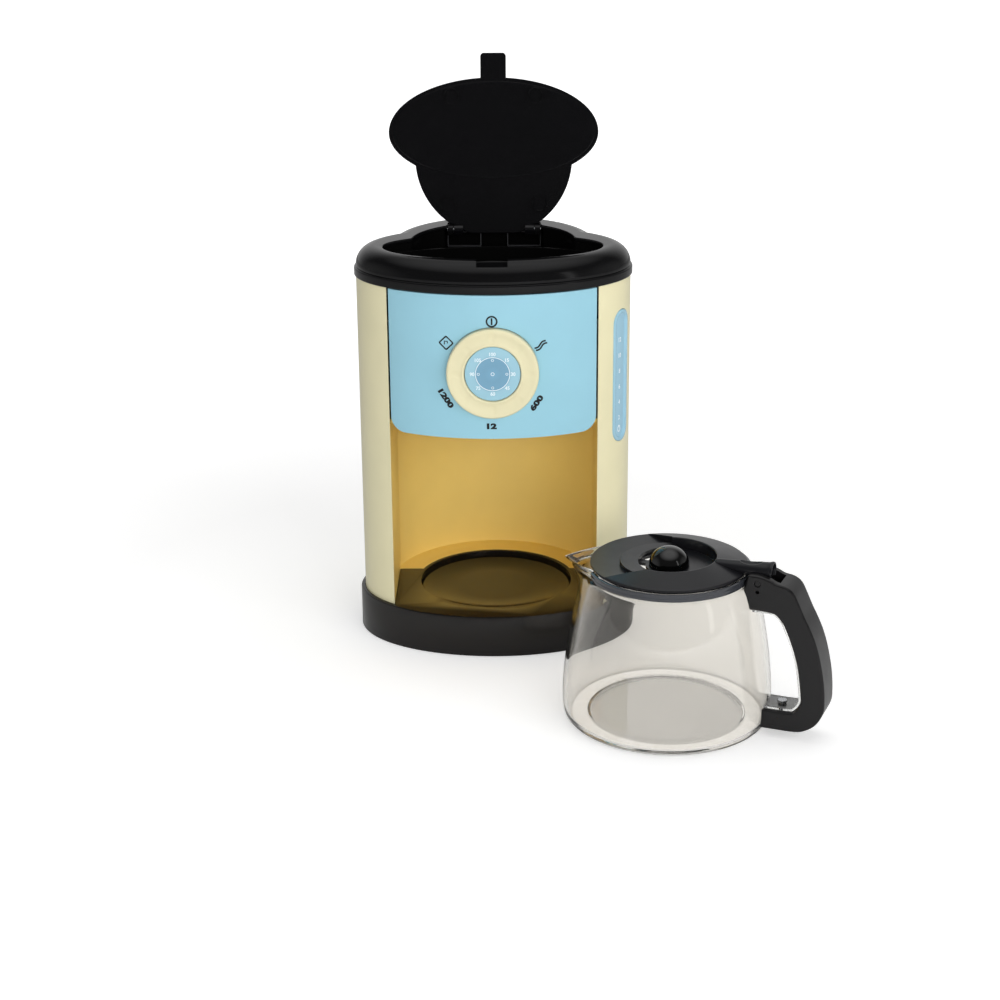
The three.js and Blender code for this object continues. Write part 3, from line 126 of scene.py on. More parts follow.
class Recipe:
    """A material's node tree and the few calls that build it."""

    def __init__(self, name: str) -> None:
        """Starts an empty tree with an output and a surface shader."""
        self.material = bpy.data.materials.new(name)
        self.material.use_nodes = True
        self.tree = self.material.node_tree
        self.tree.nodes.clear()
        self.output = self.node("ShaderNodeOutputMaterial")
        self.surface = self.node("ShaderNodeBsdfPrincipled")
        self.link(self.surface.outputs["BSDF"], self.output.inputs["Surface"])
        self.place = self.node("ShaderNodeTexCoord").outputs["Object"]

    def node(self, kind: str, **settings: object) -> bpy.types.Node:
        """Adds a node and sets its own settings."""
        made = self.tree.nodes.new(kind)
        for name, value in settings.items():
            setattr(made, name, value)
        return made

    def link(self, source: bpy.types.NodeSocket, target: bpy.types.NodeSocket) -> None:
        """Joins two sockets."""
        self.tree.links.new(source, target)

    def feed(self, name: str, source: bpy.types.NodeSocket) -> None:
        """Drives one input of the surface shader."""
        self.link(source, self.surface.inputs[name])

    def fix(self, values: dict[str, object]) -> None:
        """Sets inputs of the surface shader."""
        for name, value in values.items():
            self.surface.inputs[name].default_value = value

    def noise(
        self, size: float, detail: float = 3.0, stretch: Sequence[float] = (1, 1, 1),
    ) -> bpy.types.NodeSocket:
        """Adds noise on the object's own coordinates.

        Args:
            size: Rough width of one patch in millimetres.
            detail: Levels of finer noise.
            stretch: Scale along each axis.

        Returns:
            The socket with a value from zero to one.
        """
        mapping = self.node("ShaderNodeMapping")
        mapping.inputs["Scale"].default_value = stretch
        texture = self.node("ShaderNodeTexNoise")
        texture.inputs["Scale"].default_value = 1 / (size * MILLIMETRE)
        texture.inputs["Detail"].default_value = detail
        self.link(self.place, mapping.inputs["Vector"])
        self.link(mapping.outputs["Vector"], texture.inputs["Vector"])
        return texture.outputs["Fac"]

    def ramp(self, source: bpy.types.NodeSocket, stops: Sequence[tuple[float, Colour]]) -> bpy.types.NodeSocket:
        """Turns a value into a colour.

        Args:
            source: The value.
            stops: Places from zero to one with their colours.

        Returns:
            The colour socket.
        """
        made = self.node("ShaderNodeValToRGB")
        made.color_ramp.elements[0].position = stops[0][0]
        made.color_ramp.elements[0].color = stops[0][1]
        made.color_ramp.elements[1].position = stops[-1][0]
        made.color_ramp.elements[1].color = stops[-1][1]
        for place, colour in stops[1:-1]:
            made.color_ramp.elements.new(place).color = colour
        self.link(source, made.inputs["Fac"])
        return made.outputs["Color"]

    def drifting(self, source: bpy.types.NodeSocket, colour: Colour, low: float, high: float) -> None:
        """Lets the surface's colour drift between two shares of itself."""
        self.feed("Base Color", self.ramp(source, [
            (STOP_LOW, shaded(colour, low)), (STOP_HIGH, shaded(colour, high)),
        ]))

    def spread(self, source: bpy.types.NodeSocket, low: float, high: float) -> bpy.types.NodeSocket:
        """Maps a value from zero to one onto a range."""
        made = self.node("ShaderNodeMapRange")
        limits = {"From Min": NOISE_LOW, "From Max": NOISE_HIGH, "To Min": low, "To Max": high}
        for name, value in limits.items():
            made.inputs[name].default_value = value
        self.link(source, made.inputs["Value"])
        return made.outputs["Result"]

    def bump(self, source: bpy.types.NodeSocket, height: float, strength: float) -> None:
        """Raises the surface by a value, with the height in millimetres."""
        made = self.node("ShaderNodeBump")
        made.inputs["Strength"].default_value = strength
        made.inputs["Distance"].default_value = height * MILLIMETRE
        self.link(source, made.inputs["Height"])
        self.link(made.outputs["Normal"], self.surface.inputs["Normal"])


@dataclass(frozen=True)
class Finish:
    """What every finish has: a name, and a material that is made once."""

    name: str

    def recipe(self) -> Recipe:
        """Starts the finish's material."""
        return Recipe(self.name)

    def material(self) -> bpy.types.Material:
        """Returns the finish's material, made on first use."""
        known = bpy.data.materials.get(self.name)
        return known if known else self.recipe().material


@dataclass(frozen=True)
class Plastic(Finish):
    """Moulded plastic with a slight drift of its colour and gloss."""

    colour: str
    roughness: float
    drift: float = 0.02
    gloss_drift: float = 0.03
    grain: float = 0.02
    grain_size: float = 0.9
    coat: float = 0.0
    level: float = 0.5
    patch_size: float = 26
    gloss_patch: float = 7
    bump_strength: float = 0.35
    ior: float = 1.46
    coat_roughness: float = 0.05

    def recipe(self) -> Recipe:
        """Builds the plastic's colour, gloss and fine texture."""
        recipe = Recipe(self.name)
        recipe.drifting(recipe.noise(self.patch_size), linear(self.colour), 1 - self.drift, 1 + self.drift)
        gloss = recipe.noise(self.gloss_patch, 4)
        recipe.feed("Roughness", recipe.spread(
            gloss, self.roughness - self.gloss_drift, self.roughness + self.gloss_drift,
        ))
        recipe.bump(recipe.noise(self.grain_size, 4), self.grain, self.bump_strength)
        recipe.fix({
            "IOR": self.ior, "Specular IOR Level": self.level,
            "Coat Weight": self.coat, "Coat Roughness": self.coat_roughness,
        })
        return recipe


@dataclass(frozen=True)
class RadialPlastic(Finish):
    """Blue plastic that pales outwards from the dial's middle, with a painted highlight at the very middle."""

    inner: str
    outer: str
    radius: float
    centre_z: float
    roughness: Point = (0.2, 0.27)
    coat: float = 0.4
    coat_roughness: float = 0.08
    flat_share: float = 0.3
    step_shares: Point = (0.58, 0.66)

    def recipe(self) -> Recipe:
        """Builds the gradient about the dial's axis, with its painted highlight at the middle."""
        recipe = Recipe(self.name)
        centred = recipe.node("ShaderNodeMapping")
        centred.inputs["Location"].default_value = (0, 0, -self.centre_z * MILLIMETRE)
        flat = recipe.node("ShaderNodeVectorMath", operation="MULTIPLY")
        flat.inputs[1].default_value = (1, 0, 1)
        length = recipe.node("ShaderNodeVectorMath", operation="LENGTH")
        recipe.link(recipe.place, centred.inputs["Vector"])
        recipe.link(centred.outputs["Vector"], flat.inputs[0])
        recipe.link(flat.outputs["Vector"], length.inputs[0])
        share = recipe.node("ShaderNodeMath", operation="DIVIDE")
        share.inputs[1].default_value = self.radius * MILLIMETRE
        recipe.link(length.outputs["Value"], share.inputs[0])
        inner, outer = linear(self.inner), linear(self.outer)
        # The lighter first stop at the middle is a painted highlight; the other stops step from the darker inner
        # blue to the paler outer blue.
        recipe.feed("Base Color", recipe.ramp(share.outputs["Value"], [
            (0.0, shaded(inner, 1.12)), (self.flat_share, inner),
            (self.step_shares[0], shaded(inner, 1.04)), (self.step_shares[1], outer),
            (1.0, shaded(outer, 1.04)),
        ]))
        recipe.feed("Roughness", recipe.spread(recipe.noise(5), *self.roughness))
        recipe.bump(recipe.noise(1.2), 0.02, 0.3)
        recipe.fix({"Coat Weight": self.coat, "Coat Roughness": self.coat_roughness})
        return recipe


@dataclass(frozen=True)
class Clear(Finish):
    """Clear moulded plastic with faint flow lines."""

    tint: str
    roughness: float = 0.015
    ior: float = 1.45
    flow_size: float = 16

    def recipe(self) -> Recipe:
        """Builds the see-through plastic."""
        recipe = Recipe(self.name)
        recipe.fix({"Transmission Weight": 1.0, "IOR": self.ior})
        recipe.drifting(recipe.noise(30), linear(self.tint), 0.985, 1.0)
        recipe.feed("Roughness", recipe.spread(recipe.noise(9), self.roughness * 0.6, self.roughness * 1.4))
        recipe.bump(recipe.noise(self.flow_size, 1, (1, 1, 0.4)), 0.05, 0.18)
        return recipe


@dataclass(frozen=True)
class Steel(Finish):
    """Plated steel with fine drawn lines."""

    colour: str
    roughness: float
    roughness_drift: float = 0.06
    line_size: float = 0.8

    def recipe(self) -> Recipe:
        """Builds the metal."""
        recipe = Recipe(self.name)
        recipe.fix({"Metallic": 1.0})
        lines = recipe.noise(self.line_size, 2, (1, 1, 0.1))
        recipe.drifting(lines, linear(self.colour), 0.92, 1.06)
        recipe.feed("Roughness", recipe.spread(
            lines, self.roughness - self.roughness_drift, self.roughness + self.roughness_drift,
        ))
        recipe.bump(lines, 0.01, 0.2)
        return recipe


@dataclass(frozen=True)
class Ink(Finish):
    """Pad-printed ink with slightly uneven cover."""

    colour: str
    roughness: float = 0.42
    cover_size: float = 0.7

    def recipe(self) -> Recipe:
        """Builds the ink."""
        recipe = Recipe(self.name)
        recipe.drifting(recipe.noise(self.cover_size), linear(self.colour), 0.92, 1.1)
        recipe.fix({"Roughness": self.roughness})
        return recipe


CREAM = Plastic("cream_plastic", "#ebe4bc", 0.32)
# A darker copy of the shell's cream for the dial ring: painted shade.
RING_SHADED_CREAM = Plastic("ring_cream_painted_shade_plastic", "#e3dcb6", 0.3)
# The shell's cream made a deeper, more saturated gold for the bay and the brew deck: painted bounce light inside
# the bay.
BAY_PAINTED_BOUNCE_CREAM = Plastic("bay_painted_bounce_plastic", "#f7da80", 0.4, gloss_drift=0.04, level=0.35)
PANEL_BLUE = Plastic("panel_plastic", "#98cbdc", 0.34, grain=0.015)
GAUGE_BLUE = Plastic("gauge_plastic", "#9cc8dc", 0.18, coat=0.3)
# The dial face's blues, with a painted highlight at the middle.
DIAL_BLUE = RadialPlastic("dial_face_plastic", "#6f9fba", "#98c5d6", 15.4, 166.6)
CAP_BLACK = Plastic("cap_black_plastic", "#0c0c0d", 0.16, drift=0.08, level=0.28)
TANK_BLACK = Plastic("tank_black_plastic", "#080808", 0.18, drift=0.08, level=0.4)
LID_BLACK = Plastic("lid_black_plastic", "#08080a", 0.2, drift=0.08, level=0.4)
BASE_BLACK = Plastic("base_black_plastic", "#151210", 0.2, drift=0.08, gloss_drift=0.04)
PLATE_BLACK = Plastic("plate_black_plastic", "#120e0a", 0.14, drift=0.08)
HANDLE_BLACK = Plastic("handle_black_plastic", "#121112", 0.3, drift=0.06, grain=0.04, grain_size=0.5)
JUG_LID_BLACK = Plastic("jug_lid_black_plastic", "#151518", 0.3, drift=0.06, grain=0.03, grain_size=0.5)
KNOB_BLACK = Plastic("knob_black_plastic", "#070707", 0.06, drift=0.08, grain=0.004, coat=0.5)
# The gloss black neck band made dark grey: painted sheen of its gloss.
BAND_PAINTED_SHEEN = Plastic("band_black_painted_sheen_plastic", "#33353a", 0.14, drift=0.05, coat=0.6)
# A grey copy of the tank's gloss black for the rib frames: painted light on them.
RIB_PAINTED_LIGHT = Plastic("rib_black_painted_light_plastic", "#39393b", 0.3)
INNER_BLACK = Plastic("inner_black_plastic", "#121212", 0.4)
# The tint's faint warm grey is painted shade, standing in for the shade seen through the walls and the floor.
JUG_CLEAR = Clear("jug_clear_plastic", "#f3f1ed")
LINER_CLEAR = Clear("liner_clear_plastic", "#e9e9e7", 0.03)
STEEL = Steel("screw_steel", "#c3c5c8", 0.28)
SPRING_STEEL = Steel("spring_steel", "#a6a9ad", 0.34)
DARK_INK = Ink("dark_ink", "#050506")
PALE_INK = Ink("pale_ink", "#e6f1f5")


class Shape:
    """A mesh in the making, in millimetres."""

    def __init__(self) -> None:
        """Starts an empty mesh."""
        self.mesh = bmesh.new()

    def around(self, verts: Sequence[bmesh.types.BMVert]) -> list[bmesh.types.BMEdge]:
        """Returns the edges between vertices that stand in a closed row."""
        return [self.mesh.edges.get((verts[i - 1], verts[i])) for i in range(len(verts))]

    def drawn_on(self, verts: Sequence[bmesh.types.BMVert]) -> list[bmesh.types.BMVert]:
        """Extrudes a closed row of vertices and returns the new row in the same order."""
        made = bmesh.ops.extrude_edge_only(self.mesh, edges=self.around(verts))["geom"]
        fresh = {item for item in made if isinstance(item, bmesh.types.BMVert)}
        return [next(e.other_vert(v) for e in v.link_edges if e.other_vert(v) in fresh) for v in verts]

    def loft(self, rings: Sequence[Sequence[Vector]], closed: bool = False) -> "Shape":
        """Extrudes a loop through a row of loops with the same number of points.

        Args:
            rings: The loops in order.
            closed: Whether the last loop joins the first, in place of flat faces at both ends.

        Returns:
            This shape.
        """
        first = bmesh.ops.create_circle(self.mesh, cap_ends=False, radius=1.0, segments=len(rings[0]))["verts"]
        for vert, point in zip(first, rings[0]):
            vert.co = point
        last = first
        for points in [*rings[1:], *([rings[0]] if closed else [])]:
            last = self.drawn_on(last)
            for vert, point in zip(last, points):
                vert.co = point
        if closed:
            bmesh.ops.weld_verts(self.mesh, targetmap=dict(zip(last, first)))
        else:
            for loop in (first, last):
                bmesh.ops.contextual_create(self.mesh, geom=self.around(loop))
        return self.outward()

    def turn(
        self, profile: Sequence[Point], steps: int = 96, sweep: float = 360.0, start: float = 0.0,
    ) -> "Shape":
        """Spins a profile about the Z axis.

        Args:
            profile: Points of radius and height; the line closes unless both ends lie on the axis.
            steps: Steps in the sweep.
            sweep: Degrees to spin through.
            start: Degrees at which the profile stands.

        Returns:
            This shape.
        """
        heading = Matrix.Rotation(math.radians(start), 4, "Z")
        verts = [self.mesh.verts.new(heading @ Vector((radius, 0, z))) for radius, z in profile]
        open_line = profile[0][0] == 0 and profile[-1][0] == 0
        first = 1 if open_line else 0
        edges = [self.mesh.edges.new((verts[i - 1], verts[i])) for i in range(first, len(verts))]
        whole = sweep >= 360
        bmesh.ops.spin(
            self.mesh, geom=verts + edges, cent=(0, 0, 0), axis=(0, 0, 1), dvec=(0, 0, 0),
            angle=math.radians(sweep), steps=steps, use_merge=whole, use_normal_flip=False, use_duplicate=False,
        )
        bmesh.ops.remove_doubles(self.mesh, verts=self.mesh.verts, dist=MERGE)
        if not whole:
            rim = [edge for edge in self.mesh.edges if edge.is_boundary]
            bmesh.ops.holes_fill(self.mesh, edges=rim, sides=0)
        return self.outward()

    def slab(self, outline: Sequence[Point], low: float, high: float) -> "Shape":
        """Raises a plan outline between two heights."""
        return self.loft([[Vector((x, y, z)) for x, y in outline] for z in (low, high)])

    def wall(self, outline: Sequence[Point], low: float, high: float) -> "Shape":
        """Draws an outline of X and Z out along Y."""
        return self.loft([[Vector((x, y, z)) for x, z in outline] for y in (low, high)])

    def block(self, lows: Sequence[float], highs: Sequence[float]) -> "Shape":
        """Adds a box between two corners."""
        made = bmesh.ops.create_cube(self.mesh, size=1.0)["verts"]
        low, high = Vector(lows), Vector(highs)
        size = high - low
        bmesh.ops.scale(self.mesh, vec=size, verts=made)
        bmesh.ops.translate(self.mesh, vec=(low + high) / 2, verts=made)
        return self

    def rod(self, radius: float, start: Sequence[float], end: Sequence[float], steps: int = 32) -> "Shape":
        """Adds a round rod between two points."""
        first, last = Vector(start), Vector(end)
        along = last - first
        made = bmesh.ops.create_cone(
            self.mesh, cap_ends=True, segments=steps, radius1=radius, radius2=radius, depth=along.length,
        )["verts"]
        turn = Vector((0, 0, 1)).rotation_difference(along).to_matrix().to_4x4()
        bmesh.ops.transform(self.mesh, matrix=Matrix.Translation((first + last) / 2) @ turn, verts=made)
        return self

    def move(self, matrix: Matrix) -> "Shape":
        """Carries the whole shape by a matrix."""
        bmesh.ops.transform(self.mesh, matrix=matrix, verts=self.mesh.verts)
        return self

    def lay(self, rule: Callable[[Vector], Vector]) -> "Shape":
        """Moves each vertex to where a rule puts it."""
        for vert in self.mesh.verts:
            vert.co = rule(vert.co)
        return self

    def rounded(self, width: float, steps: int = 2, angle: float = 40.0) -> "Shape":
        """Rounds every edge sharper than an angle."""
        limit = math.radians(angle)
        sharp = [e for e in self.mesh.edges if len(e.link_faces) == 2 and e.calc_face_angle(0) > limit]
        bmesh.ops.bevel(
            self.mesh, geom=sharp, offset=width, offset_type="OFFSET", segments=steps, profile=0.5,
            affect="EDGES", clamp_overlap=True, material=-1,
        )
        return self

    def add(self, other: "Shape") -> "Shape":
        """Takes in a copy of another shape as it is."""
        mesh = bpy.data.meshes.new("taken")
        other.mesh.to_mesh(mesh)
        self.mesh.from_mesh(mesh)
        bpy.data.meshes.remove(mesh)
        return self

    def outward(self) -> "Shape":
        """Turns all faces outwards."""
        bmesh.ops.recalc_face_normals(self.mesh, faces=self.mesh.faces)
        return self

    def work(self, other: "Shape", how: Cut = Cut.REMOVE) -> "Shape":
        """Joins, cuts or keeps what it shares with another shape.

        Args:
            other: The shape that works on this one.
            how: Remove, join or keep.

        Returns:
            This shape.
        """
        holders = []
        for shape in (self, other):
            mesh = bpy.data.meshes.new("work")
            shape.mesh.to_mesh(mesh)
            holder = bpy.data.objects.new("work", mesh)
            bpy.context.scene.collection.objects.link(holder)
            holders.append(holder)
        change = holders[0].modifiers.new("work", "BOOLEAN")
        change.operation = how.value
        change.solver = "EXACT"
        change.object = holders[1]
        result = holders[0].evaluated_get(bpy.context.evaluated_depsgraph_get())
        mesh = bpy.data.meshes.new_from_object(result)
        self.mesh.clear()
        self.mesh.from_mesh(mesh)
        bpy.data.meshes.remove(mesh)
        for holder in holders:
            used = holder.data
            bpy.data.objects.remove(holder)
            bpy.data.meshes.remove(used)
        bmesh.ops.remove_doubles(self.mesh, verts=self.mesh.verts, dist=MERGE)
        return self


def lettering(words: str, size: float, stretch: float, weight: float, depth: float) -> Shape:
    """Makes raised numbers that lie in X and Y, centred on the origin.

    Args:
        words: The numbers.
        size: Height setting of the type in millimetres.
        stretch: Widening of the type.
        weight: Thickening of the strokes in millimetres.
        depth: Half the thickness of the ink.

    Returns:
        The shape, with +Z out of the surface.
    """
    curve = bpy.data.curves.new("type", "FONT")
    curve.body = words
    curve.size = size
    curve.align_x = "CENTER"
    curve.align_y = "CENTER"
    curve.extrude = depth
    curve.offset = weight
    curve.resolution_u = 4
    holder = bpy.data.objects.new("type", curve)
    bpy.context.scene.collection.objects.link(holder)
    mesh = bpy.data.meshes.new_from_object(holder.evaluated_get(bpy.context.evaluated_depsgraph_get()))
    shape = Shape()
    shape.mesh.from_mesh(mesh)
    bpy.data.objects.remove(holder)
    bpy.data.curves.remove(curve)
    bpy.data.meshes.remove(mesh)
    bmesh.ops.remove_doubles(shape.mesh, verts=shape.mesh.verts, dist=MERGE)
    xs = [vert.co.x for vert in shape.mesh.verts]
    ys = [vert.co.y for vert in shape.mesh.verts]
    middle = Vector(((min(xs) + max(xs)) / 2, (min(ys) + max(ys)) / 2, 0))
    return shape.move(Matrix.Diagonal((stretch, 1, 1, 1)) @ Matrix.Translation(-middle))


def circle(radius: float, steps: int = 48) -> list[Point]:
    """Returns the points of a circle about the origin."""
    angles = [2 * math.pi * i / steps for i in range(steps)]
    return [(radius * math.cos(a), radius * math.sin(a)) for a in angles]


def rounded_box(half_width: float, half_height: float, radius: float, steps: int = 8) -> list[Point]:
    """Returns the points of a rectangle with round corners about the origin."""
    points = []
    for corner, (side_x, side_y) in enumerate(((1, -1), (1, 1), (-1, 1), (-1, -1))):
        for i in range(steps + 1):
            angle = math.pi / 2 * (corner - 1 + i / steps)
            x = side_x * (half_width - radius) + radius * math.cos(angle)
            points.append((x, side_y * (half_height - radius) + radius * math.sin(angle)))
    return points


def frame_ring(outer: Sequence[Point], inner: Sequence[Point], depth: float) -> Shape:
    """Makes a flat closed frame between two outlines with the same number of points."""
    rings = [(outer, -depth), (outer, depth), (inner, depth), (inner, -depth)]
    return Shape().loft([[Vector((x, y, z)) for x, y in line] for line, z in rings], closed=True)


def beside(path: Sequence[Point], away: float) -> list[Point]:
    """Returns a path moved to the left of its run by a distance."""
    made = []
    for i, (x, y) in enumerate(path):
        before, after = Vector(path[max(i - 1, 0)]), Vector(path[min(i + 1, len(path) - 1)])
        along = (after - before).normalized()
        made.append((x - along.y * away, y + along.x * away))
    return made


def ribbon(path: Sequence[Point], width: float, depth: float) -> Shape:
    """Makes a flat stroke of even width along a path."""
    return Shape().slab(beside(path, width / 2) + beside(path, -width / 2)[::-1], -depth, depth)


def smooth_line(points: Sequence[Point], steps: int) -> list[Point]:
    """Runs a smooth curve through points.

    Args:
        points: The points that it passes through.
        steps: Steps between each two of them.

    Returns:
        The curve's points, both ends included.
    """
    made = []
    last = len(points) - 1
    for i in range(last):
        p = [Vector(points[max(0, min(last, i + k))]) for k in (-1, 0, 1, 2)]
        for j in range(steps):
            t = j / steps
            value = (
                2 * p[1] + (p[2] - p[0]) * t + (2 * p[0] - 5 * p[1] + 4 * p[2] - p[3]) * t ** 2
                + (3 * p[1] - p[0] - 3 * p[2] + p[3]) * t ** 3
            ) / 2
            made.append((value.x, value.y))
    return made + [tuple(points[-1])]


@dataclass(frozen=True)
class LobedPlan:
    """A wide ellipse in front with a round lobe behind it."""

    half_width: float
    front: float
    rear: float
    centre_y: float
    lobe_radius: float
    lobe_y: float
    rear_y: float = math.inf
    front_steps: int = 96
    side_steps: int = 10
    lobe_steps: int = 64

    def on_ellipse(self, angle: float, depth: float, inset: float) -> Point:
        """Returns the point of the ellipse at an angle."""
        return (self.half_width - inset) * math.cos(angle), self.centre_y + depth * math.sin(angle)

    def meeting_angle(self, inset: float) -> float:
        """Finds where the ellipse's rear half meets the lobe."""
        low, high = 0.0, math.pi / 2
        for _ in range(40):
            middle = (low + high) / 2
            x, y = self.on_ellipse(middle, self.rear - inset, inset)
            outside = math.hypot(x, y - self.lobe_y) > self.lobe_radius - inset
            low, high = (middle, high) if outside else (low, middle)
        return low

    def outline(self, inset: float = 0.0) -> list[Point]:
        """Returns the plan, moved inwards, counter-clockwise from the left."""
        meet = self.meeting_angle(inset)
        radius = self.lobe_radius - inset
        meet_x, meet_y = self.on_ellipse(meet, self.rear - inset, inset)
        start = math.atan2(meet_y - self.lobe_y, meet_x)
        points = [
            self.on_ellipse(math.pi * (1 + i / self.front_steps), self.front - inset, inset)
            for i in range(self.front_steps + 1)
        ]
        points += [
            self.on_ellipse(meet * i / self.side_steps, self.rear - inset, inset)
            for i in range(1, self.side_steps + 1)
        ]
        for i in range(1, self.lobe_steps + 1):
            angle = start + (math.pi - 2 * start) * i / self.lobe_steps
            points.append((radius * math.cos(angle), self.lobe_y + radius * math.sin(angle)))
        points += [
            self.on_ellipse(math.pi - meet + meet * i / self.side_steps, self.rear - inset, inset)
            for i in range(1, self.side_steps)
        ]
        return [(x, min(y, self.rear_y - inset)) for x, y in points]

    def ring(self, inset: float, z: float) -> list[Vector]:
        """Returns the plan as a loop at a height."""
        return [Vector((x, y, z)) for x, y in self.outline(inset)]

    def front_y(self, x: float, inset: float = 0.0) -> float:
        """Returns where the front stands at an X."""
        share = min(abs(x) / (self.half_width - inset), 1.0)
        return self.centre_y - (self.front - inset) * math.sqrt(1 - share ** 2)

    def lens(self, inset: float, z: float, steps: int = 144) -> list[Vector]:
        """Returns the two half ellipses without the lobe as a loop."""
        points = []
        for i in range(steps):
            angle = 2 * math.pi * i / steps
            depth = (self.front if math.sin(angle) < 0 else self.rear) - inset
            points.append(Vector((*self.on_ellipse(angle, depth, inset), z)))
        return points


BODY_PLAN = LobedPlan(half_width=76.4, front=51.5, rear=51.5, centre_y=0.0, lobe_radius=60.0, lobe_y=19.0)
OPENING = LobedPlan(
    half_width=60.8, front=31.7, rear=28.6, centre_y=-6.3, lobe_radius=45.8, lobe_y=8.0, rear_y=53.6,
)


@dataclass(frozen=True)
class Piece:
    """How one finished piece is named, dressed and carried."""

    name: str
    body: Body
    slot: Slot
    finish: Finish
    replaces: tuple[str, ...] = ()
    edge: float = 0.0
    crease: float = 35.0


def place(shape: Shape, piece: Piece) -> bpy.types.Object:
    """Turns a shape into a piece of the scene.

    Args:
        shape: The shape in millimetres.
        piece: Its name, body, finish and edges.

    Returns:
        The object, at the origin, with its place in its mesh.
    """
    shape.outward()
    bmesh.ops.scale(shape.mesh, vec=(MILLIMETRE,) * 3, verts=shape.mesh.verts)
    mesh = bpy.data.meshes.new(piece.name)
    shape.mesh.to_mesh(mesh)
    shape.mesh.free()
    mesh.polygons.foreach_set("use_smooth", [True] * len(mesh.polygons))
    thing = bpy.data.objects.new(piece.name, mesh)
    bpy.context.scene.collection.objects.link(thing)
    mesh.materials.append(piece.finish.material())
    if piece.edge > 0:
        bevel = thing.modifiers.new("edges", "BEVEL")
        bevel.width = piece.edge * MILLIMETRE
        bevel.segments = EDGE_STEPS
        bevel.limit_method = "ANGLE"
        bevel.angle_limit = math.radians(piece.crease)
        bevel.harden_normals = False
        normals = thing.modifiers.new("normals", "WEIGHTED_NORMAL")
        normals.keep_sharp = True
    else:
        mesh.set_sharp_from_angle(angle=math.radians(piece.crease))
    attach(thing, piece.body.value)
    if piece.replaces:
        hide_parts(*piece.replaces)
    LOG.info("piece %s on %s, %d vertices", piece.name, piece.body.value, len(mesh.vertices))
    return thing


def dress(finish: Finish, *nodes: str) -> None:
    """Gives carried-over nodes a finish."""
    for name in nodes:
        for slot in frame["nodes"][name].material_slots:
            slot.material = finish.material()
        LOG.info("node %s dressed in %s", name, finish.name)


def bay_outline(half_width: float, radius: float, centre_y: float, grow: float, front_y: float) -> list[Point]:
    """Returns the bay's plan: flat sides joined by a round back."""
    side, bow = half_width + grow, radius + grow
    start = math.acos(side / bow)
    points = [(-side, front_y), (side, front_y)]
    steps = 64
    for i in range(steps + 1):
        angle = start + (math.pi - 2 * start) * i / steps
        points.append((bow * math.cos(angle), centre_y + bow * math.sin(angle)))
    return points


@dataclass
class Base:
    """The black base with its deck, the well and the hot plate."""

    height: float = 24.5
    deck_z: float = 22.5
    proud: float = 2.5
    plate_rear_y: float = 20.0
    plate_half: float = 57.3
    well_y: float = 5.0
    well_radius: float = 44.0
    well_outer: float = 45.9
    well_floor: float = 18.9
    cover: float = 3.0
    round_edge: float = 0.9
    plate_play: float = 0.5
    plate_thickness: float = 1.5
    steps: int = 128

    def tray_shape(self) -> Shape:
        """Builds the tray with the shell's seat and the well cut in."""
        edge = self.round_edge
        rings = [(edge, 0), (0.3 * edge, 0.3 * edge), (0, edge)]
        rings += [(inset, self.height - up) for inset, up in rings[::-1]]
        shape = Shape().loft([BODY_PLAN.ring(inset - self.proud, z) for inset, z in rings])
        shape.work(self.seat_shape())
        radius, top = self.well_radius, self.height
        shape.work(Shape().turn([
            (0, self.well_floor), (radius, self.well_floor), (radius, top - 0.5), (radius + 0.12, top - 0.2),
            (radius + 0.45, top), (radius + 0.45, top + 5), (0, top + 5),
        ], self.steps).move(Matrix.Translation((0, self.well_y, 0))))
        return shape.work(Shape().loft([BODY_PLAN.ring(-GAP, -1), BODY_PLAN.ring(-GAP, self.cover)]))

    def seat_shape(self) -> Shape:
        """Builds the lower ledge that the shell stands on."""
        outline = BODY_PLAN.outline(-GAP)
        split = self.plate_half
        front_points = BODY_PLAN.front_steps + 1
        front, rest = outline[:front_points], outline[front_points:]
        around = [p for p in front if p[0] > split and p[1] < 0]
        left = [p for p in front if p[0] < -split and p[1] < 0]
        corner_y = BODY_PLAN.front_y(split, -GAP)
        reach = math.sqrt(self.well_outer ** 2 - (self.plate_rear_y - self.well_y) ** 2)
        start = math.atan2(self.plate_rear_y - self.well_y, reach)
        arc = []
        arc_steps = 48
        for i in range(arc_steps + 1):
            angle = math.pi - start - (math.pi - 2 * start) * i / arc_steps
            arc.append((self.well_outer * math.cos(angle), self.well_y + self.well_outer * math.sin(angle)))
        points = [(split, corner_y), *around, *rest, *left, (-split, corner_y), (-split, self.plate_rear_y)]
        return Shape().slab([*points, *arc, (split, self.plate_rear_y)], self.deck_z, self.height + 5)

    def plate_shape(self) -> Shape:
        """Builds the hot plate with its low rim."""
        radius = self.well_radius - self.plate_play
        low = self.well_floor + GAP
        top = low + self.plate_thickness
        rim = [
            (radius, low), (radius, top), (radius - 0.3, top + 0.4), (radius - 1.1, top + 0.5),
            (radius - 1.7, top + 0.35), (radius - 2.2, top),
        ]
        shape = Shape().turn([(0, low), *rim, (radius * 0.5, top), (0, top)], self.steps)
        return shape.move(Matrix.Translation((0, self.well_y, 0)))

    def build(self) -> None:
        """Makes the base's pieces."""
        place(self.tray_shape(), Piece(
            "base_body", Body.MACHINE, Slot.BASE_BLACK, BASE_BLACK, ("base_tray",), crease=40,
        ))
        place(self.plate_shape(), Piece(
            "hot_plate_disc", Body.MACHINE, Slot.GLOSS_BLACK, PLATE_BLACK, ("hot_plate",),
        ))
        dress(INNER_BLACK, "base_cover")
        dress(STEEL, *(f"base_screw_{i}" for i in (1, 2, 3, 4)))


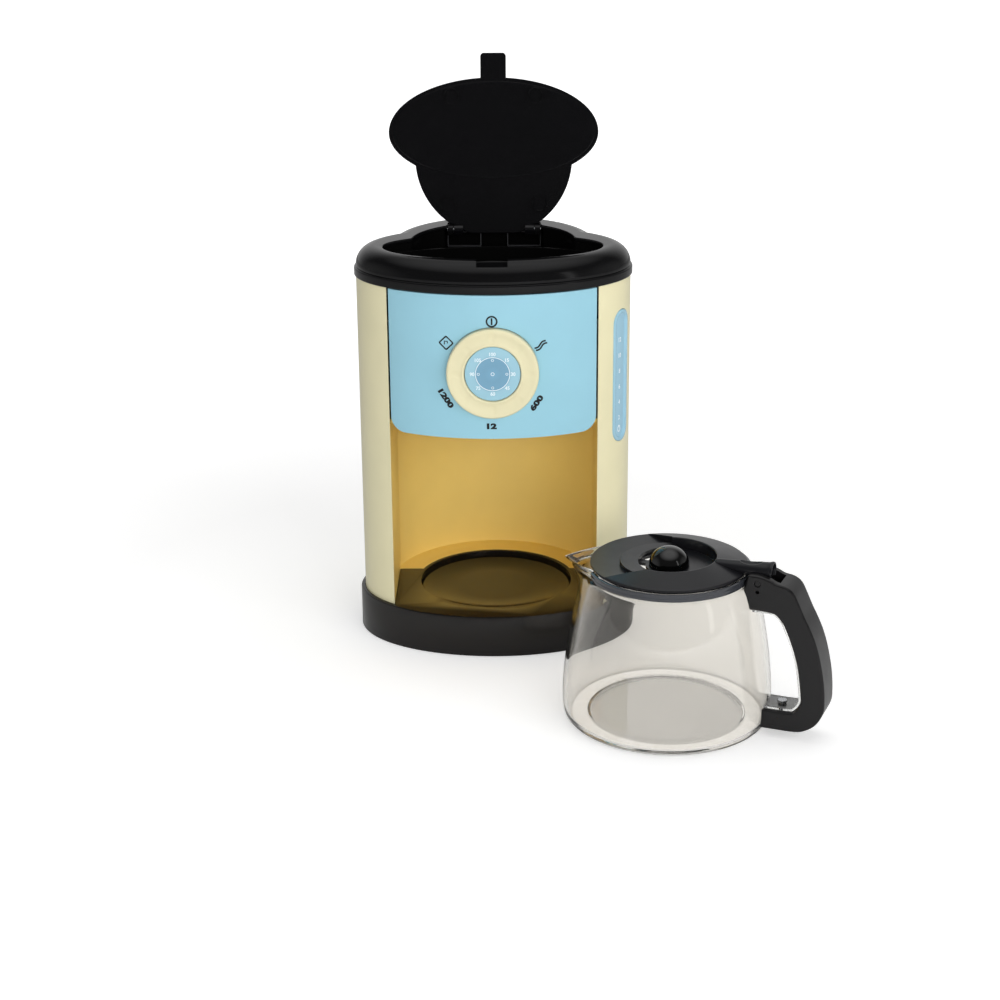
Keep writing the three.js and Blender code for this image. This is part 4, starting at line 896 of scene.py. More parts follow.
@dataclass
class Gauge:
    """The level gauge let into the right-hand pillar."""

    centre_x: float = 70.9
    centre_z: float = 155.4
    width: float = 15.6
    height: float = 76.0
    marks: tuple[str, ...] = ("12", "10", "8", "6", "4", "2")
    mark_top: float = 176.0
    mark_step: float = 9.0
    mark_height: float = 3.6
    mark_shift: float = 0.4
    channel: float = 0.8
    drop_below: float = 31.4
    search_steps: int = 36

    def on_pillar(self, along: float, out: float, z: float) -> Vector:
        """Finds a place on the pillar.

        Args:
            along: Distance round the pillar from the gauge's middle.
            out: Distance out of the pillar's surface.
            z: Height.

        Returns:
            The place.
        """
        centre_y = BODY_PLAN.front_y(self.centre_x)
        turn = math.atan2(self.centre_x / BODY_PLAN.half_width ** 2, -centre_y / BODY_PLAN.front ** 2)
        low, high = -math.pi / 2, math.pi / 3
        for _ in range(self.search_steps):
            middle = (low + high) / 2
            x, y = BODY_PLAN.on_ellipse(middle, BODY_PLAN.front + out, -out)
            reach = (x - self.centre_x) * math.cos(turn) + (y - centre_y) * math.sin(turn)
            low, high = (middle, high) if reach < along else (low, middle)
        return Vector((*BODY_PLAN.on_ellipse(low, BODY_PLAN.front + out, -out), z))

    def loop(self, grow: float, out: float) -> list[Vector]:
        """Returns a stadium-shaped loop on the pillar."""
        half = self.width / 2 + grow
        outline = rounded_box(half, self.height / 2 + grow, half * 0.999, 12)
        return [self.on_pillar(x, out, self.centre_z + y) for x, y in outline]

    def window(self) -> Shape:
        """Builds the bar that cuts the gauge's window out of the shell."""
        return Shape().loft([self.loop(GAP, -5), self.loop(GAP, -1), self.loop(GAP, 3)])

    def plate_shape(self) -> Shape:
        """Builds the bevelled plate with its channel."""
        steps = [
            (1.6, -3.3), (1.6, -2.3), (0, -2.3), (0, 0.1),
            (-0.15, 0.35), (-0.5, 0.5), (-1.7, 0.5), (-2.0, 0.35),
            (-2.3, -0.5), (-2.6, -0.75), (-3.4, -self.channel), (-5.0, -self.channel), (-6.6, -self.channel),
            (-7.6, -self.channel),
        ]
        return Shape().loft([self.loop(grow, out) for grow, out in steps])

    def print_shape(self) -> Shape:
        """Builds the pale numbers and the small drop below them."""
        shape = Shape()
        for i, words in enumerate(self.marks):
            z = self.mark_top - self.mark_step * i
            text = lettering(words, self.mark_height, 0.9, 0.03, 0.06)
            shape.add(text.lay(lambda p, z=z: self.on_pillar(p.x - self.mark_shift, -self.channel + p.z, z + p.y)))
        drop = frame_ring(circle(1.7, 32), circle(1.1, 32), 0.06)
        drop.lay(lambda p: Vector((p.x * 0.85, p.y * (1.5 if p.y > 0 else 0.9), p.z)))
        low = self.centre_z - self.drop_below
        drop.lay(lambda p: self.on_pillar(p.x - self.mark_shift, -self.channel + p.z, low + p.y))
        return shape.add(drop)

    def build(self) -> None:
        """Makes the gauge's pieces."""
        place(self.plate_shape(), Piece(
            "gauge_plate", Body.MACHINE, Slot.GAUGE_BLUE, GAUGE_BLUE, ("sight_gauge",), crease=50,
        ))
        place(self.print_shape(), Piece("gauge_marks", Body.MACHINE, Slot.CREAM, PALE_INK))


@dataclass
class Shell:
    """The cream outer shell and the bay behind the jug's place."""

    bottom_z: float = 22.8
    top_z: float = 209.7
    wall: float = 2.0
    bay_half: float = 57.6
    bay_radius: float = 60.0
    bay_y: float = 7.0
    bay_wall: float = 1.6
    bay_top: float = 131.7
    ledge_front_y: float = 20.3
    ledge_top: float = 24.5
    well_y: float = 5.0
    well_clear: float = 46.2

    def shell_shape(self, gauge: Gauge) -> Shape:
        """Builds the shell, open in front, with the gauge's window."""
        rings = [(0, self.bottom_z), (0, self.top_z), (self.wall, self.top_z), (self.wall, self.bottom_z)]
        shape = Shape().loft([BODY_PLAN.ring(inset, z) for inset, z in rings], closed=True)
        shape.work(Shape().block((-self.bay_half, -WIDE, 0), (self.bay_half, 0, ABOVE)))
        return shape.work(gauge.window())

    def outline(self, grow: float) -> list[Point]:
        """Returns the bay's plan."""
        return bay_outline(self.bay_half, self.bay_radius, self.bay_y, grow, -103)

    def liner_shape(self) -> Shape:
        """Builds the bay's walls and its floor ledge."""
        walls = Shape().slab(self.outline(self.bay_wall), self.bottom_z, self.bay_top)
        walls.work(Shape().slab(self.outline(0), self.bottom_z - 5, self.bay_top + 5))
        ledge = Shape().slab(self.outline(0.4), self.bottom_z, self.ledge_top)
        ledge.work(Shape().block((-WIDE, -110, 0), (WIDE, self.ledge_front_y, 60)))
        ledge.work(Shape().turn([(0, 0), (self.well_clear, 0), (self.well_clear, 60), (0, 60)], 128).move(
            Matrix.Translation((0, self.well_y, 0)),
        ))
        walls.work(ledge, Cut.JOIN)
        limit = Shape().loft([BODY_PLAN.ring(self.wall + GAP, 0), BODY_PLAN.ring(self.wall + GAP, ABOVE)])
        return walls.work(limit, Cut.KEEP)

    def build(self) -> None:
        """Makes the shell and the bay."""
        gauge = Gauge()
        place(self.shell_shape(gauge), Piece(
            "shell_body", Body.MACHINE, Slot.CREAM, CREAM, ("body_shell",), edge=0.45, crease=40,
        ))
        # The bay walls wear the gold copy of the cream: painted bounce light.
        place(self.liner_shape(), Piece(
            "bay_walls", Body.MACHINE, Slot.CREAM, BAY_PAINTED_BOUNCE_CREAM, ("bay_liner",), edge=0.25, crease=40,
        ))
        # The brew deck wears the same painted bounce light.
        dress(BAY_PAINTED_BOUNCE_CREAM, "brew_deck")
        gauge.build()


@dataclass
class FrontPanel:
    """The blue panel, curved like the body, with its printed signs."""

    half_width: float = 56.6
    bottom_z: float = 129.2
    top_z: float = 209.4
    thickness: float = 2.4
    corner: float = 8.0
    dial_z: float = 166.6
    seat_radius: float = 26.6
    seat_front: float = 51.9
    seat_floor: float = 48.9
    seat_back: float = 46.5
    pocket_radius: float = 25.4
    sleeve: float = 9.3
    columns: int = 96
    rows: int = 20
    post_span: float = 20.0
    post_radius: float = 3.4
    peg_span: float = 11.0
    peg_radius: float = 2.2
    peg_z: float = 184.8
    post_end: float = 41.5
    peg_end: float = 43.1
    ink: float = 0.08
    figure_height: float = 4.1

    def bottom_at(self, x: float) -> float:
        """Returns the panel's lower edge at an X."""
        over = abs(x) - (self.half_width - self.corner)
        if over <= 0:
            return self.bottom_z
        return self.bottom_z + self.corner - math.sqrt(max(self.corner ** 2 - over ** 2, 0.0))

    def skin_shape(self) -> Shape:
        """Builds the curved sheet with round lower corners and gives it its thickness."""
        shape = Shape()
        bmesh.ops.create_grid(shape.mesh, x_segments=self.columns, y_segments=self.rows, size=1.0)

        def onto_panel(p: Vector) -> Vector:
            """Lays the unit sheet onto the panel's curve."""
            x = self.half_width * math.sin(p.x * math.pi / 2)
            low = self.bottom_at(x)
            return Vector((x, BODY_PLAN.front_y(x), low + (self.top_z - low) * (p.y + 1) / 2))

        shape.lay(onto_panel)
        bmesh.ops.remove_doubles(shape.mesh, verts=shape.mesh.verts, dist=MERGE)
        shape.outward()
        facing_inward = sum(f.normal.y for f in shape.mesh.faces) > 0
        if facing_inward:
            bmesh.ops.reverse_faces(shape.mesh, faces=shape.mesh.faces)
        bmesh.ops.solidify(shape.mesh, geom=shape.mesh.faces[:], thickness=self.thickness)
        return shape.outward()

    def panel_shape(self) -> Shape:
        """Builds the sheet, the dial's seat and the posts behind it."""
        shape = self.skin_shape()
        front, outer, inner = self.seat_front, self.seat_radius, self.pocket_radius
        seat = Shape().turn([
            (self.sleeve, self.seat_back), (outer, self.seat_back),
            (outer, front - 0.5), (outer - 0.15, front - 0.15), (outer - 0.5, front),
            (inner + 0.2, front), (inner, front - 0.2), (inner, self.seat_floor), (self.sleeve, self.seat_floor),
        ], 128)
        seat.move(Matrix.Translation((0, 0, self.dial_z)) @ Matrix.Rotation(math.pi / 2, 4, "X"))
        seat.work(Shape().loft([BODY_PLAN.ring(0.0, 100), BODY_PLAN.ring(0.0, 230)]), Cut.KEEP)
        middle = (inner + outer) / 2
        shape.work(Shape().rod(middle, (0, -60, self.dial_z), (0, 0, self.dial_z), 128))
        shape.add(seat)
        for side in Side:
            x = side.value * self.post_span
            shape.rod(self.post_radius, (x, -self.seat_back - 1, self.dial_z), (x, -self.post_end, self.dial_z))
            x = side.value * self.peg_span
            shape.rod(self.peg_radius, (x, -self.seat_back - 1, self.peg_z), (x, -self.peg_end, self.peg_z))
        return shape

    def onto(self, centre: Point, turn: float) -> Callable[[Vector], Vector]:
        """Returns the rule that lays a flat sign onto the panel.

        Args:
            centre: The sign's X and Z.
            turn: Its turn in degrees.

        Returns:
            A rule for each vertex.
        """
        heading = Matrix.Rotation(math.radians(turn), 3, "Z")

        def rule(p: Vector) -> Vector:
            """Lays one vertex."""
            flat = heading @ Vector((p.x, p.y, 0))
            x = centre[0] + flat.x
            return Vector((x, BODY_PLAN.front_y(x) - p.z, centre[1] + flat.y))

        return rule

    def figure(self, words: str, centre: Point, turn: float) -> Shape:
        """Builds one printed number round the dial."""
        return lettering(words, self.figure_height, 1.5, 0.26, self.ink).lay(self.onto(centre, turn))

    def sign_shapes(self) -> list[Shape]:
        """Builds the power sign, the square, the steam lines and the numbers."""
        ink = self.ink
        power = frame_ring(circle(3.2), circle(2.3), ink)
        power.add(ribbon([(0, -1.9), (0, 1.9)], 0.9, ink))
        square = frame_ring(rounded_box(3.05, 3.05, 0.9, 4), rounded_box(2.3, 2.3, 0.5, 4), ink)
        square.add(ribbon([(-1.3, 0.0), (0.0, 1.3), (1.15, 0.15), (0.35, -0.65)], 0.6, ink))
        steps = 20
        wave = [
            (0.6 * math.sin(2 * math.pi * t / steps), -3.6 + 7.2 * t / steps) for t in range(steps + 1)
        ]
        steam = Shape()
        for shift in (-0.75, 0.75):
            steam.add(ribbon([(x + shift, y) for x, y in wave], 0.9, ink))
        return [
            power.lay(self.onto((-0.3, 195.2), 0)),
            square.lay(self.onto((-25.0, 182.8), 45)),
            steam.lay(self.onto((26.1, 181.0), -58)),
            self.figure("1200", (-25.5, 151.4), -56),
            self.figure("12", (-0.7, 136.4), 0),
            self.figure("600", (23.7, 148.8), 54),
        ]

    def build(self) -> None:
        """Makes the panel and its print."""
        place(self.panel_shape(), Piece(
            "panel_body", Body.MACHINE, Slot.PANEL_BLUE, PANEL_BLUE, ("front_panel",), edge=0.4, crease=50,
        ))
        signs = Shape()
        for sign in self.sign_shapes():
            signs.add(sign)
        place(signs, Piece("panel_print", Body.MACHINE, Slot.BASE_BLACK, DARK_INK))


@dataclass
class Dial:
    """The turning ring with its wheel, and the fixed face in its middle."""

    z: float = 166.6
    back: float = 49.2
    front: float = 55.0
    radius: float = 25.1
    rim: float = 1.1
    face_radius: float = 15.4
    bore: float = 6.3
    sleeve: float = 9.0
    wheel_back: float = 43.1
    web: float = 51.2
    face_back: float = 53.0
    face_front: float = 53.9
    dimples: int = 8
    dimple_depth: float = 0.35
    dimple_half_width: float = 1.9
    dimple_half_length: float = 3.4
    numbers: tuple[str, ...] = ("100", "15", "30", "45", "60", "75", "90", "105")
    number_radius: float = 11.1
    number_height: float = 2.75
    circle_radius: float = 9.25
    circle_half_width: float = 0.17
    tick_radius: float = 7.7
    ink: float = 0.05
    rim_steps: int = 8

    def upright(self) -> Matrix:
        """Returns the turn from the Z axis to the dial's own axis."""
        return Matrix.Translation((0, 0, self.z)) @ Matrix.Rotation(math.pi / 2, 4, "X")

    def ring_shape(self) -> Shape:
        """Builds the ring with its rounded rim, dished face and dimples."""
        r, f, face = self.radius, self.front, self.face_radius
        profile = [(self.bore, self.wheel_back), (self.sleeve, self.wheel_back), (self.sleeve, self.back)]
        profile += [(r - 0.8, self.back), (r - 0.25, self.back + 0.25), (r, self.back + 0.8), (r, f - self.rim)]
        for i in range(1, self.rim_steps + 1):
            angle = math.pi / 2 * i / self.rim_steps
            profile.append((r - self.rim * (1 - math.cos(angle)), f - self.rim * (1 - math.sin(angle))))
        dish = [(r - 2.6, f - 0.03), (r - 4.8, f - 0.42), (face + 2.4, f - 0.42), (face + 1.2, f - 0.06)]
        profile += smooth_line(dish, 5)
        profile += [(face + 0.6, f - 0.04), (face + 0.2, f - 0.2), (face, f - 0.6)]
        profile += [(face, self.web), (self.bore, self.web)]
        shape = Shape().turn(profile, 192)

        def press(p: Vector) -> Vector:
            """Presses the dimples into the front face."""
            radius = math.hypot(p.x, p.y)
            if p.z < f - 1.2 or not face + 1.2 < radius < r - 1.4:
                return p
            angle = math.atan2(p.y, p.x) * self.dimples / (2 * math.pi)
            away = abs(angle - round(angle)) * 2 * math.pi * radius / self.dimples
            across = max(0.0, 1 - (away / self.dimple_half_width) ** 2)
            along = max(0.0, 1 - ((radius - (face + r) / 2) / self.dimple_half_length) ** 2)
            return Vector((p.x, p.y, p.z - self.dimple_depth * across * along))

        return shape.lay(press).move(self.upright())

    def face_shape(self) -> Shape:
        """Builds the face with a softly raised middle."""
        radius = self.face_radius - GAP
        top = self.face_front
        return Shape().turn([
            (0, self.face_back), (radius, self.face_back), (radius, top - 0.3), (radius - 0.1, top - 0.08),
            (radius - 0.35, top), (radius * 0.66, top), (radius * 0.33, top), (0, top),
        ]).move(self.upright())

    def print_shape(self) -> Shape:
        """Builds the face's circle, its ticks and its numbers."""
        ink, line = self.ink, self.circle_half_width
        shape = frame_ring(circle(self.circle_radius + line, 96), circle(self.circle_radius - line, 96), ink)
        shape.add(frame_ring(circle(1.0, 32), circle(0.7, 32), ink))
        for angle in (0, 90, 180, 270):
            across = self.tick_radius * math.cos(math.radians(angle))
            up = self.tick_radius * math.sin(math.radians(angle))
            mark = frame_ring(circle(0.75, 24), circle(0.5, 24), ink)
            shape.add(mark.move(Matrix.Translation((across, up, 0))))
        for i, words in enumerate(self.numbers):
            angle = math.pi / 2 - i * math.pi / 4
            text = lettering(words, self.number_height, 0.95, 0.05, ink)
            where = (self.number_radius * math.cos(angle), self.number_radius * math.sin(angle), 0)
            shape.add(text.move(Matrix.Translation(where)))
        return shape.move(self.upright() @ Matrix.Translation((0, 0, self.face_front)))

    def build(self) -> None:
        """Makes the dial's pieces."""
        # The ring wears the darker copy of the cream: painted shade.
        place(self.ring_shape(), Piece("dial_rim", Body.DIAL, Slot.CREAM, RING_SHADED_CREAM, ("dial_ring",), crease=50))
        place(self.face_shape(), Piece("dial_disc", Body.MACHINE, Slot.DIAL_BLUE, DIAL_BLUE, ("dial_face",)))
        place(self.print_shape(), Piece("dial_print", Body.MACHINE, Slot.CREAM, PALE_INK))
        dress(CREAM, "dial_hub")
        dress(INNER_BLACK, "click_wheel", "dial_bracket")
        dress(SPRING_STEEL, "click_spring")
        dress(STEEL, "bracket_screw_1", "bracket_screw_2", "bracket_screw_3")


@dataclass
class TopCap:
    """The rounded black cap with the lid's opening and the hinge ears."""

    bottom_z: float = 210.0
    lip_top: float = 214.9
    top_z: float = 226.4
    under_z: float = 224.3
    crown: float = 11.0
    crown_inset: float = 1.1
    hinge_y: float = 49.0
    hinge_z: float = 223.0
    ear_inner: float = 23.4
    ear_outer: float = 26.6
    ear_radius: float = 3.2
    notch_half: float = 8.4
    notch_depth: float = 2.5
    notch_y: float = -36.0
    shelf_y: float = -46.0
    shelf_depth: float = 1.8
    rim_y: float = -37.7
    over: float = 5.0

    def crown_rings(self, steps: int, inset: float, low: float, high: float) -> list[list[Vector]]:
        """Returns the loops of the rounded crown."""
        rings = []
        for i in range(steps + 1):
            angle = math.pi / 2 * i / steps
            rings.append(BODY_PLAN.ring(
                inset + (self.crown - inset) * (1 - math.cos(angle)), low + (high - low) * math.sin(angle),
            ))
        return rings

    def dome_shape(self) -> Shape:
        """Builds the hollow cap: lip, groove, crown, opening and underside."""
        lip = [
            (-0.55, 0.0), (-0.9, 0.2), (-1.0, 0.5), (-1.0, 4.0), (-0.8, 4.6), (-0.4, 4.9), (0.0, 4.9), (0.25, 5.0),
        ]
        rings = [BODY_PLAN.ring(inset, self.bottom_z + up) for inset, up in lip]
        rings += self.crown_rings(14, 0.0, self.lip_top + 0.6, self.top_z)
        edge = [(-1.0, 0.0), (-0.35, 0.08), (-0.08, 0.35), (0.0, 0.8), (0.0, 1.8), (-0.3, 2.1)]
        rings += [OPENING.ring(inset, self.top_z - down) for inset, down in edge]
        inner = self.crown_rings(8, self.crown_inset, self.lip_top, self.under_z)
        rings += inner[::-1]
        rings.append(BODY_PLAN.ring(self.crown_inset, self.bottom_z))
        return Shape().loft(rings, closed=True)

    def cap_shape(self) -> Shape:
        """Builds the dome with the notch, the hinge bay and the ears."""
        shape = self.dome_shape()
        floor, above = self.top_z - self.notch_depth, self.top_z + self.over
        back = self.notch_y + 4
        shelf_half = self.notch_half + self.shelf_depth
        shape.work(Shape().block(
            (-shelf_half, self.shelf_y, floor - self.shelf_depth), (shelf_half, self.notch_y, self.under_z + 0.2),
        ), Cut.JOIN)
        shape.work(Shape().block((-self.notch_half, -WIDE, floor), (self.notch_half, back, above)))
        shape.work(Shape().block((-shelf_half - 1, self.rim_y, floor), (shelf_half + 1, back, above)))
        clear = self.ear_outer + GAP
        shape.work(Shape().block((-clear, 0, self.bottom_z - 1), (clear, OPENING.rear_y, above)))
        ears = Shape()
        for side in Side:
            low, high = sorted((side.value * self.ear_inner, side.value * self.ear_outer))
            ears.rod(self.ear_radius, (low, self.hinge_y, self.hinge_z), (high, self.hinge_y, self.hinge_z), 48)
            ears.block(
                (low, self.hinge_y, self.hinge_z - self.ear_radius), (high, OPENING.rear_y + 1, self.hinge_z + 1),
            )
        return shape.add(ears)

    def build(self) -> None:
        """Makes the cap."""
        place(self.cap_shape(), Piece(
            "cap_body", Body.MACHINE, Slot.GLOSS_BLACK, CAP_BLACK, ("top_cap",), edge=0.25, crease=45,
        ))
        dress(STEEL, "lid_hinge_pin_left", "lid_hinge_pin_right")


@dataclass
class WaterTank:
    """The tub under the lid with its divider, frames and filter basket."""

    floor_z: float = 188.0
    top_z: float = 224.0
    floor: float = 2.0
    spread: float = 0.4
    wall: float = 1.6
    rear_half: float = 28.5
    rear_front_y: float = 35.0
    divider_top: float = 219.3
    frame_x: float = 7.5
    frame_width: float = 19.5
    frame_height: float = 9.0
    frame_top: float = 221.5
    frame_rib: float = 0.6
    lug_slot: Point = (23.1, 26.9)
    divider_half: float = 0.8
    divider_steps: int = 64
    basket_y: float = -7.85
    basket_height: float = 21.5

    def rear_box(self, grow: float, low: float, high: float) -> Shape:
        """Builds the square rear part."""
        half = self.rear_half + grow
        rear = OPENING.rear_y + self.spread + grow
        return Shape().block((-half, self.rear_front_y, low), (half, rear, high))

    def tub_shape(self) -> Shape:
        """Builds the tub with everything moulded into it."""
        inside = self.floor_z + self.floor
        shape = Shape().loft([
            OPENING.ring(-self.spread - self.wall, z) for z in (self.floor_z, self.top_z)
        ])
        shape.work(self.rear_box(self.wall, self.floor_z, self.top_z), Cut.JOIN)
        shape.work(Shape().loft([OPENING.ring(-self.spread, z) for z in (inside, self.top_z + 5)]))
        shape.work(self.rear_box(0, inside, self.top_z + 5))
        for side in Side:
            low, high = sorted(side.value * x for x in self.lug_slot)
            shape.work(Shape().block((low, 45.5, 219.5), (high, 80, ABOVE)))
        shape.work(Shape().block((-10.5, -60, 221.8), (10.5, -35.7, ABOVE)))
        return shape.add(self.divider_shape())

    def divider_shape(self) -> Shape:
        """Builds the curved wall between the basket and the rear tank."""
        outer, inner = [], []
        half = self.divider_half
        for i in range(self.divider_steps + 1):
            angle = math.radians(15 + 150 * i / self.divider_steps)
            outer.append(OPENING.on_ellipse(angle, OPENING.rear + half, -half))
            inner.append(OPENING.on_ellipse(angle, OPENING.rear - half, half))
        return Shape().slab(outer + inner[::-1], self.floor_z + 1, self.divider_top)

    def frame_shapes(self) -> Shape:
        """Builds the two ribbed frames on the rear wall."""
        shape = Shape()
        rear = OPENING.rear_y + self.spread
        for side in Side:
            middle = side.value * (self.frame_x + self.frame_width / 2)
            outer = rounded_box(self.frame_width / 2, self.frame_height / 2, 0.4, 3)
            inner = rounded_box(
                self.frame_width / 2 - self.frame_rib, self.frame_height / 2 - self.frame_rib, 0.3, 3,
            )
            one = frame_ring(outer, inner, 0.9)
            heading = Matrix.Translation((middle, rear - 0.7, self.frame_top - self.frame_height / 2))
            shape.add(one.move(heading @ Matrix.Rotation(math.pi / 2, 4, "X")))
        return shape

    def basket_shape(self) -> Shape:
        """Builds the round filter basket."""
        low = self.floor_z + self.floor + GAP
        top = low + self.basket_height
        return Shape().turn([
            (0, low), (20.0, low), (20.5, low + 0.5), (27.3, top - 1.2), (28.6, top - 1.2), (28.6, top - 0.3),
            (28.3, top), (26.3, top), (26.0, top - 0.3), (19.3, low + 2.2), (18.6, low + 1.6), (0, low + 1.6),
        ]).move(Matrix.Translation((0, self.basket_y, 0)))

    def build(self) -> None:
        """Makes the tank's pieces."""
        place(self.tub_shape(), Piece(
            "tank_tub", Body.MACHINE, Slot.GLOSS_BLACK, TANK_BLACK, ("water_tank",), edge=0.2, crease=45,
        ))
        # The ribs wear the grey copy of the black: painted light.
        place(self.frame_shapes(), Piece("tank_ribs", Body.MACHINE, Slot.GLOSS_BLACK, RIB_PAINTED_LIGHT))
        place(self.basket_shape(), Piece(
            "basket_bowl", Body.MACHINE, Slot.BASE_BLACK, TANK_BLACK, ("filter_basket",),
        ))
        dress(INNER_BLACK, "drip_tube", "drip_nozzle", "drip_valve")
        dress(SPRING_STEEL, "valve_spring")


@dataclass
class TankLid:
    """The lid of the tank, drawn shut and then swung open."""

    plan: LobedPlan = LobedPlan(
        half_width=60.8, front=31.7, rear=28.6, centre_y=-6.3, lobe_radius=45.8, lobe_y=8.0, rear_y=51.7,
    )
    clearance: float = 0.7
    thickness: float = 2.2
    lens: float = 0.7
    top_z: float = 226.4
    hinge_y: float = 49.0
    hinge_z: float = 223.0
    open_angle: float = 100.0
    lug_inner: float = 17.9
    lug_width: float = 5.2
    lug_radius: float = 3.2
    slot_inner: float = 23.1
    slot_y: float = 45.4
    tab_half: float = 7.3
    tab_y: float = -51.0
    pin_radius: float = 0.8
    pin_x: float = 1.6
    pads: tuple[Point, ...] = ((24.0, -27.0), (-24.0, -27.0), (26.3, 34.0), (-26.3, 34.0))

    def swing(self) -> Matrix:
        """Returns the turn that opens the lid."""
        pivot = Matrix.Translation((0, self.hinge_y, self.hinge_z))
        return pivot @ Matrix.Rotation(math.radians(-self.open_angle), 4, "X") @ pivot.inverted()

    def plate_shape(self) -> Shape:
        """Builds the plate, the lens below it, the tab and the lugs."""
        low, high, inset = self.top_z - self.thickness, self.top_z, self.clearance
        shape = Shape().loft([self.plan.ring(inset + d, z) for d, z in (
            (0.5, low), (0.15, low + 0.15), (0.0, low + 0.5), (0.0, high - 0.6), (0.2, high - 0.2), (0.6, high),
        )])
        tab_length = self.plan.centre_y - self.tab_y
        tab = Shape().slab(rounded_box(self.tab_half, tab_length / 2, 2.0), low, high)
        tab.rounded(0.35)
        shape.work(tab.move(Matrix.Translation((0, (self.plan.centre_y + self.tab_y) / 2, 0))), Cut.JOIN)
        for side in Side:
            near, far = sorted((side.value * self.slot_inner, side.value * 80))
            shape.work(Shape().block((near, self.slot_y, low - 5), (far, WIDE, high + 5)))
        return shape.add(self.underside_shape()).add(self.lug_shape())

    def underside_shape(self) -> Shape:
        """Builds the lens-shaped step with its ridge and the round pads."""
        low = self.top_z - self.thickness
        inset = self.clearance + self.thickness
        down = self.lens
        shape = Shape().loft([self.plan.lens(inset + d, z) for d, z in (
            (0.0, low + 0.2), (0.0, low - down + 0.25), (0.08, low - down + 0.08), (0.3, low - down),
            (1.2, low - down), (1.7, low - down), (2.15, low - down),
        )])
        for x, y in self.pads:
            depth = low - (down if y < 0 else 0)
            pad = Shape().turn([
                (4.7, depth + 0.1), (4.7, depth - 0.8), (4.5, depth - 1.1), (4.1, depth - 1.1), (3.8, depth - 0.8),
                (3.8, depth + 0.1),
            ], 48)
            for pin_x in (-self.pin_x, self.pin_x):
                pad.rod(self.pin_radius, (pin_x, 0, depth - 0.5), (pin_x, 0, depth + 0.1), 20)
            shape.add(pad.move(Matrix.Translation((x, y, 0))))
        return shape

    def lug_shape(self) -> Shape:
        """Builds the two hinge lugs."""
        shape = Shape()
        for side in Side:
            low, high = sorted((side.value * self.lug_inner, side.value * (self.lug_inner + self.lug_width)))
            start, end = (low, self.hinge_y, self.hinge_z), (high, self.hinge_y, self.hinge_z)
            shape.rod(self.lug_radius, start, end, 48)
        return shape

    def build(self) -> None:
        """Makes the lid."""
        place(self.plate_shape().move(self.swing()), Piece(
            "lid_plate", Body.TANK_LID, Slot.GLOSS_BLACK, LID_BLACK, ("tank_lid",), edge=0.2, crease=45,
        ))


@dataclass
class JugFrame:
    """Where the jug stands."""

    x: float = 91.9
    y: float = -125.85
    turn: float = -21.7

    def matrix(self) -> Matrix:
        """Returns the jug's place on the table."""
        return Matrix.Translation((self.x, self.y, 0)) @ Matrix.Rotation(math.radians(self.turn), 4, "Z")


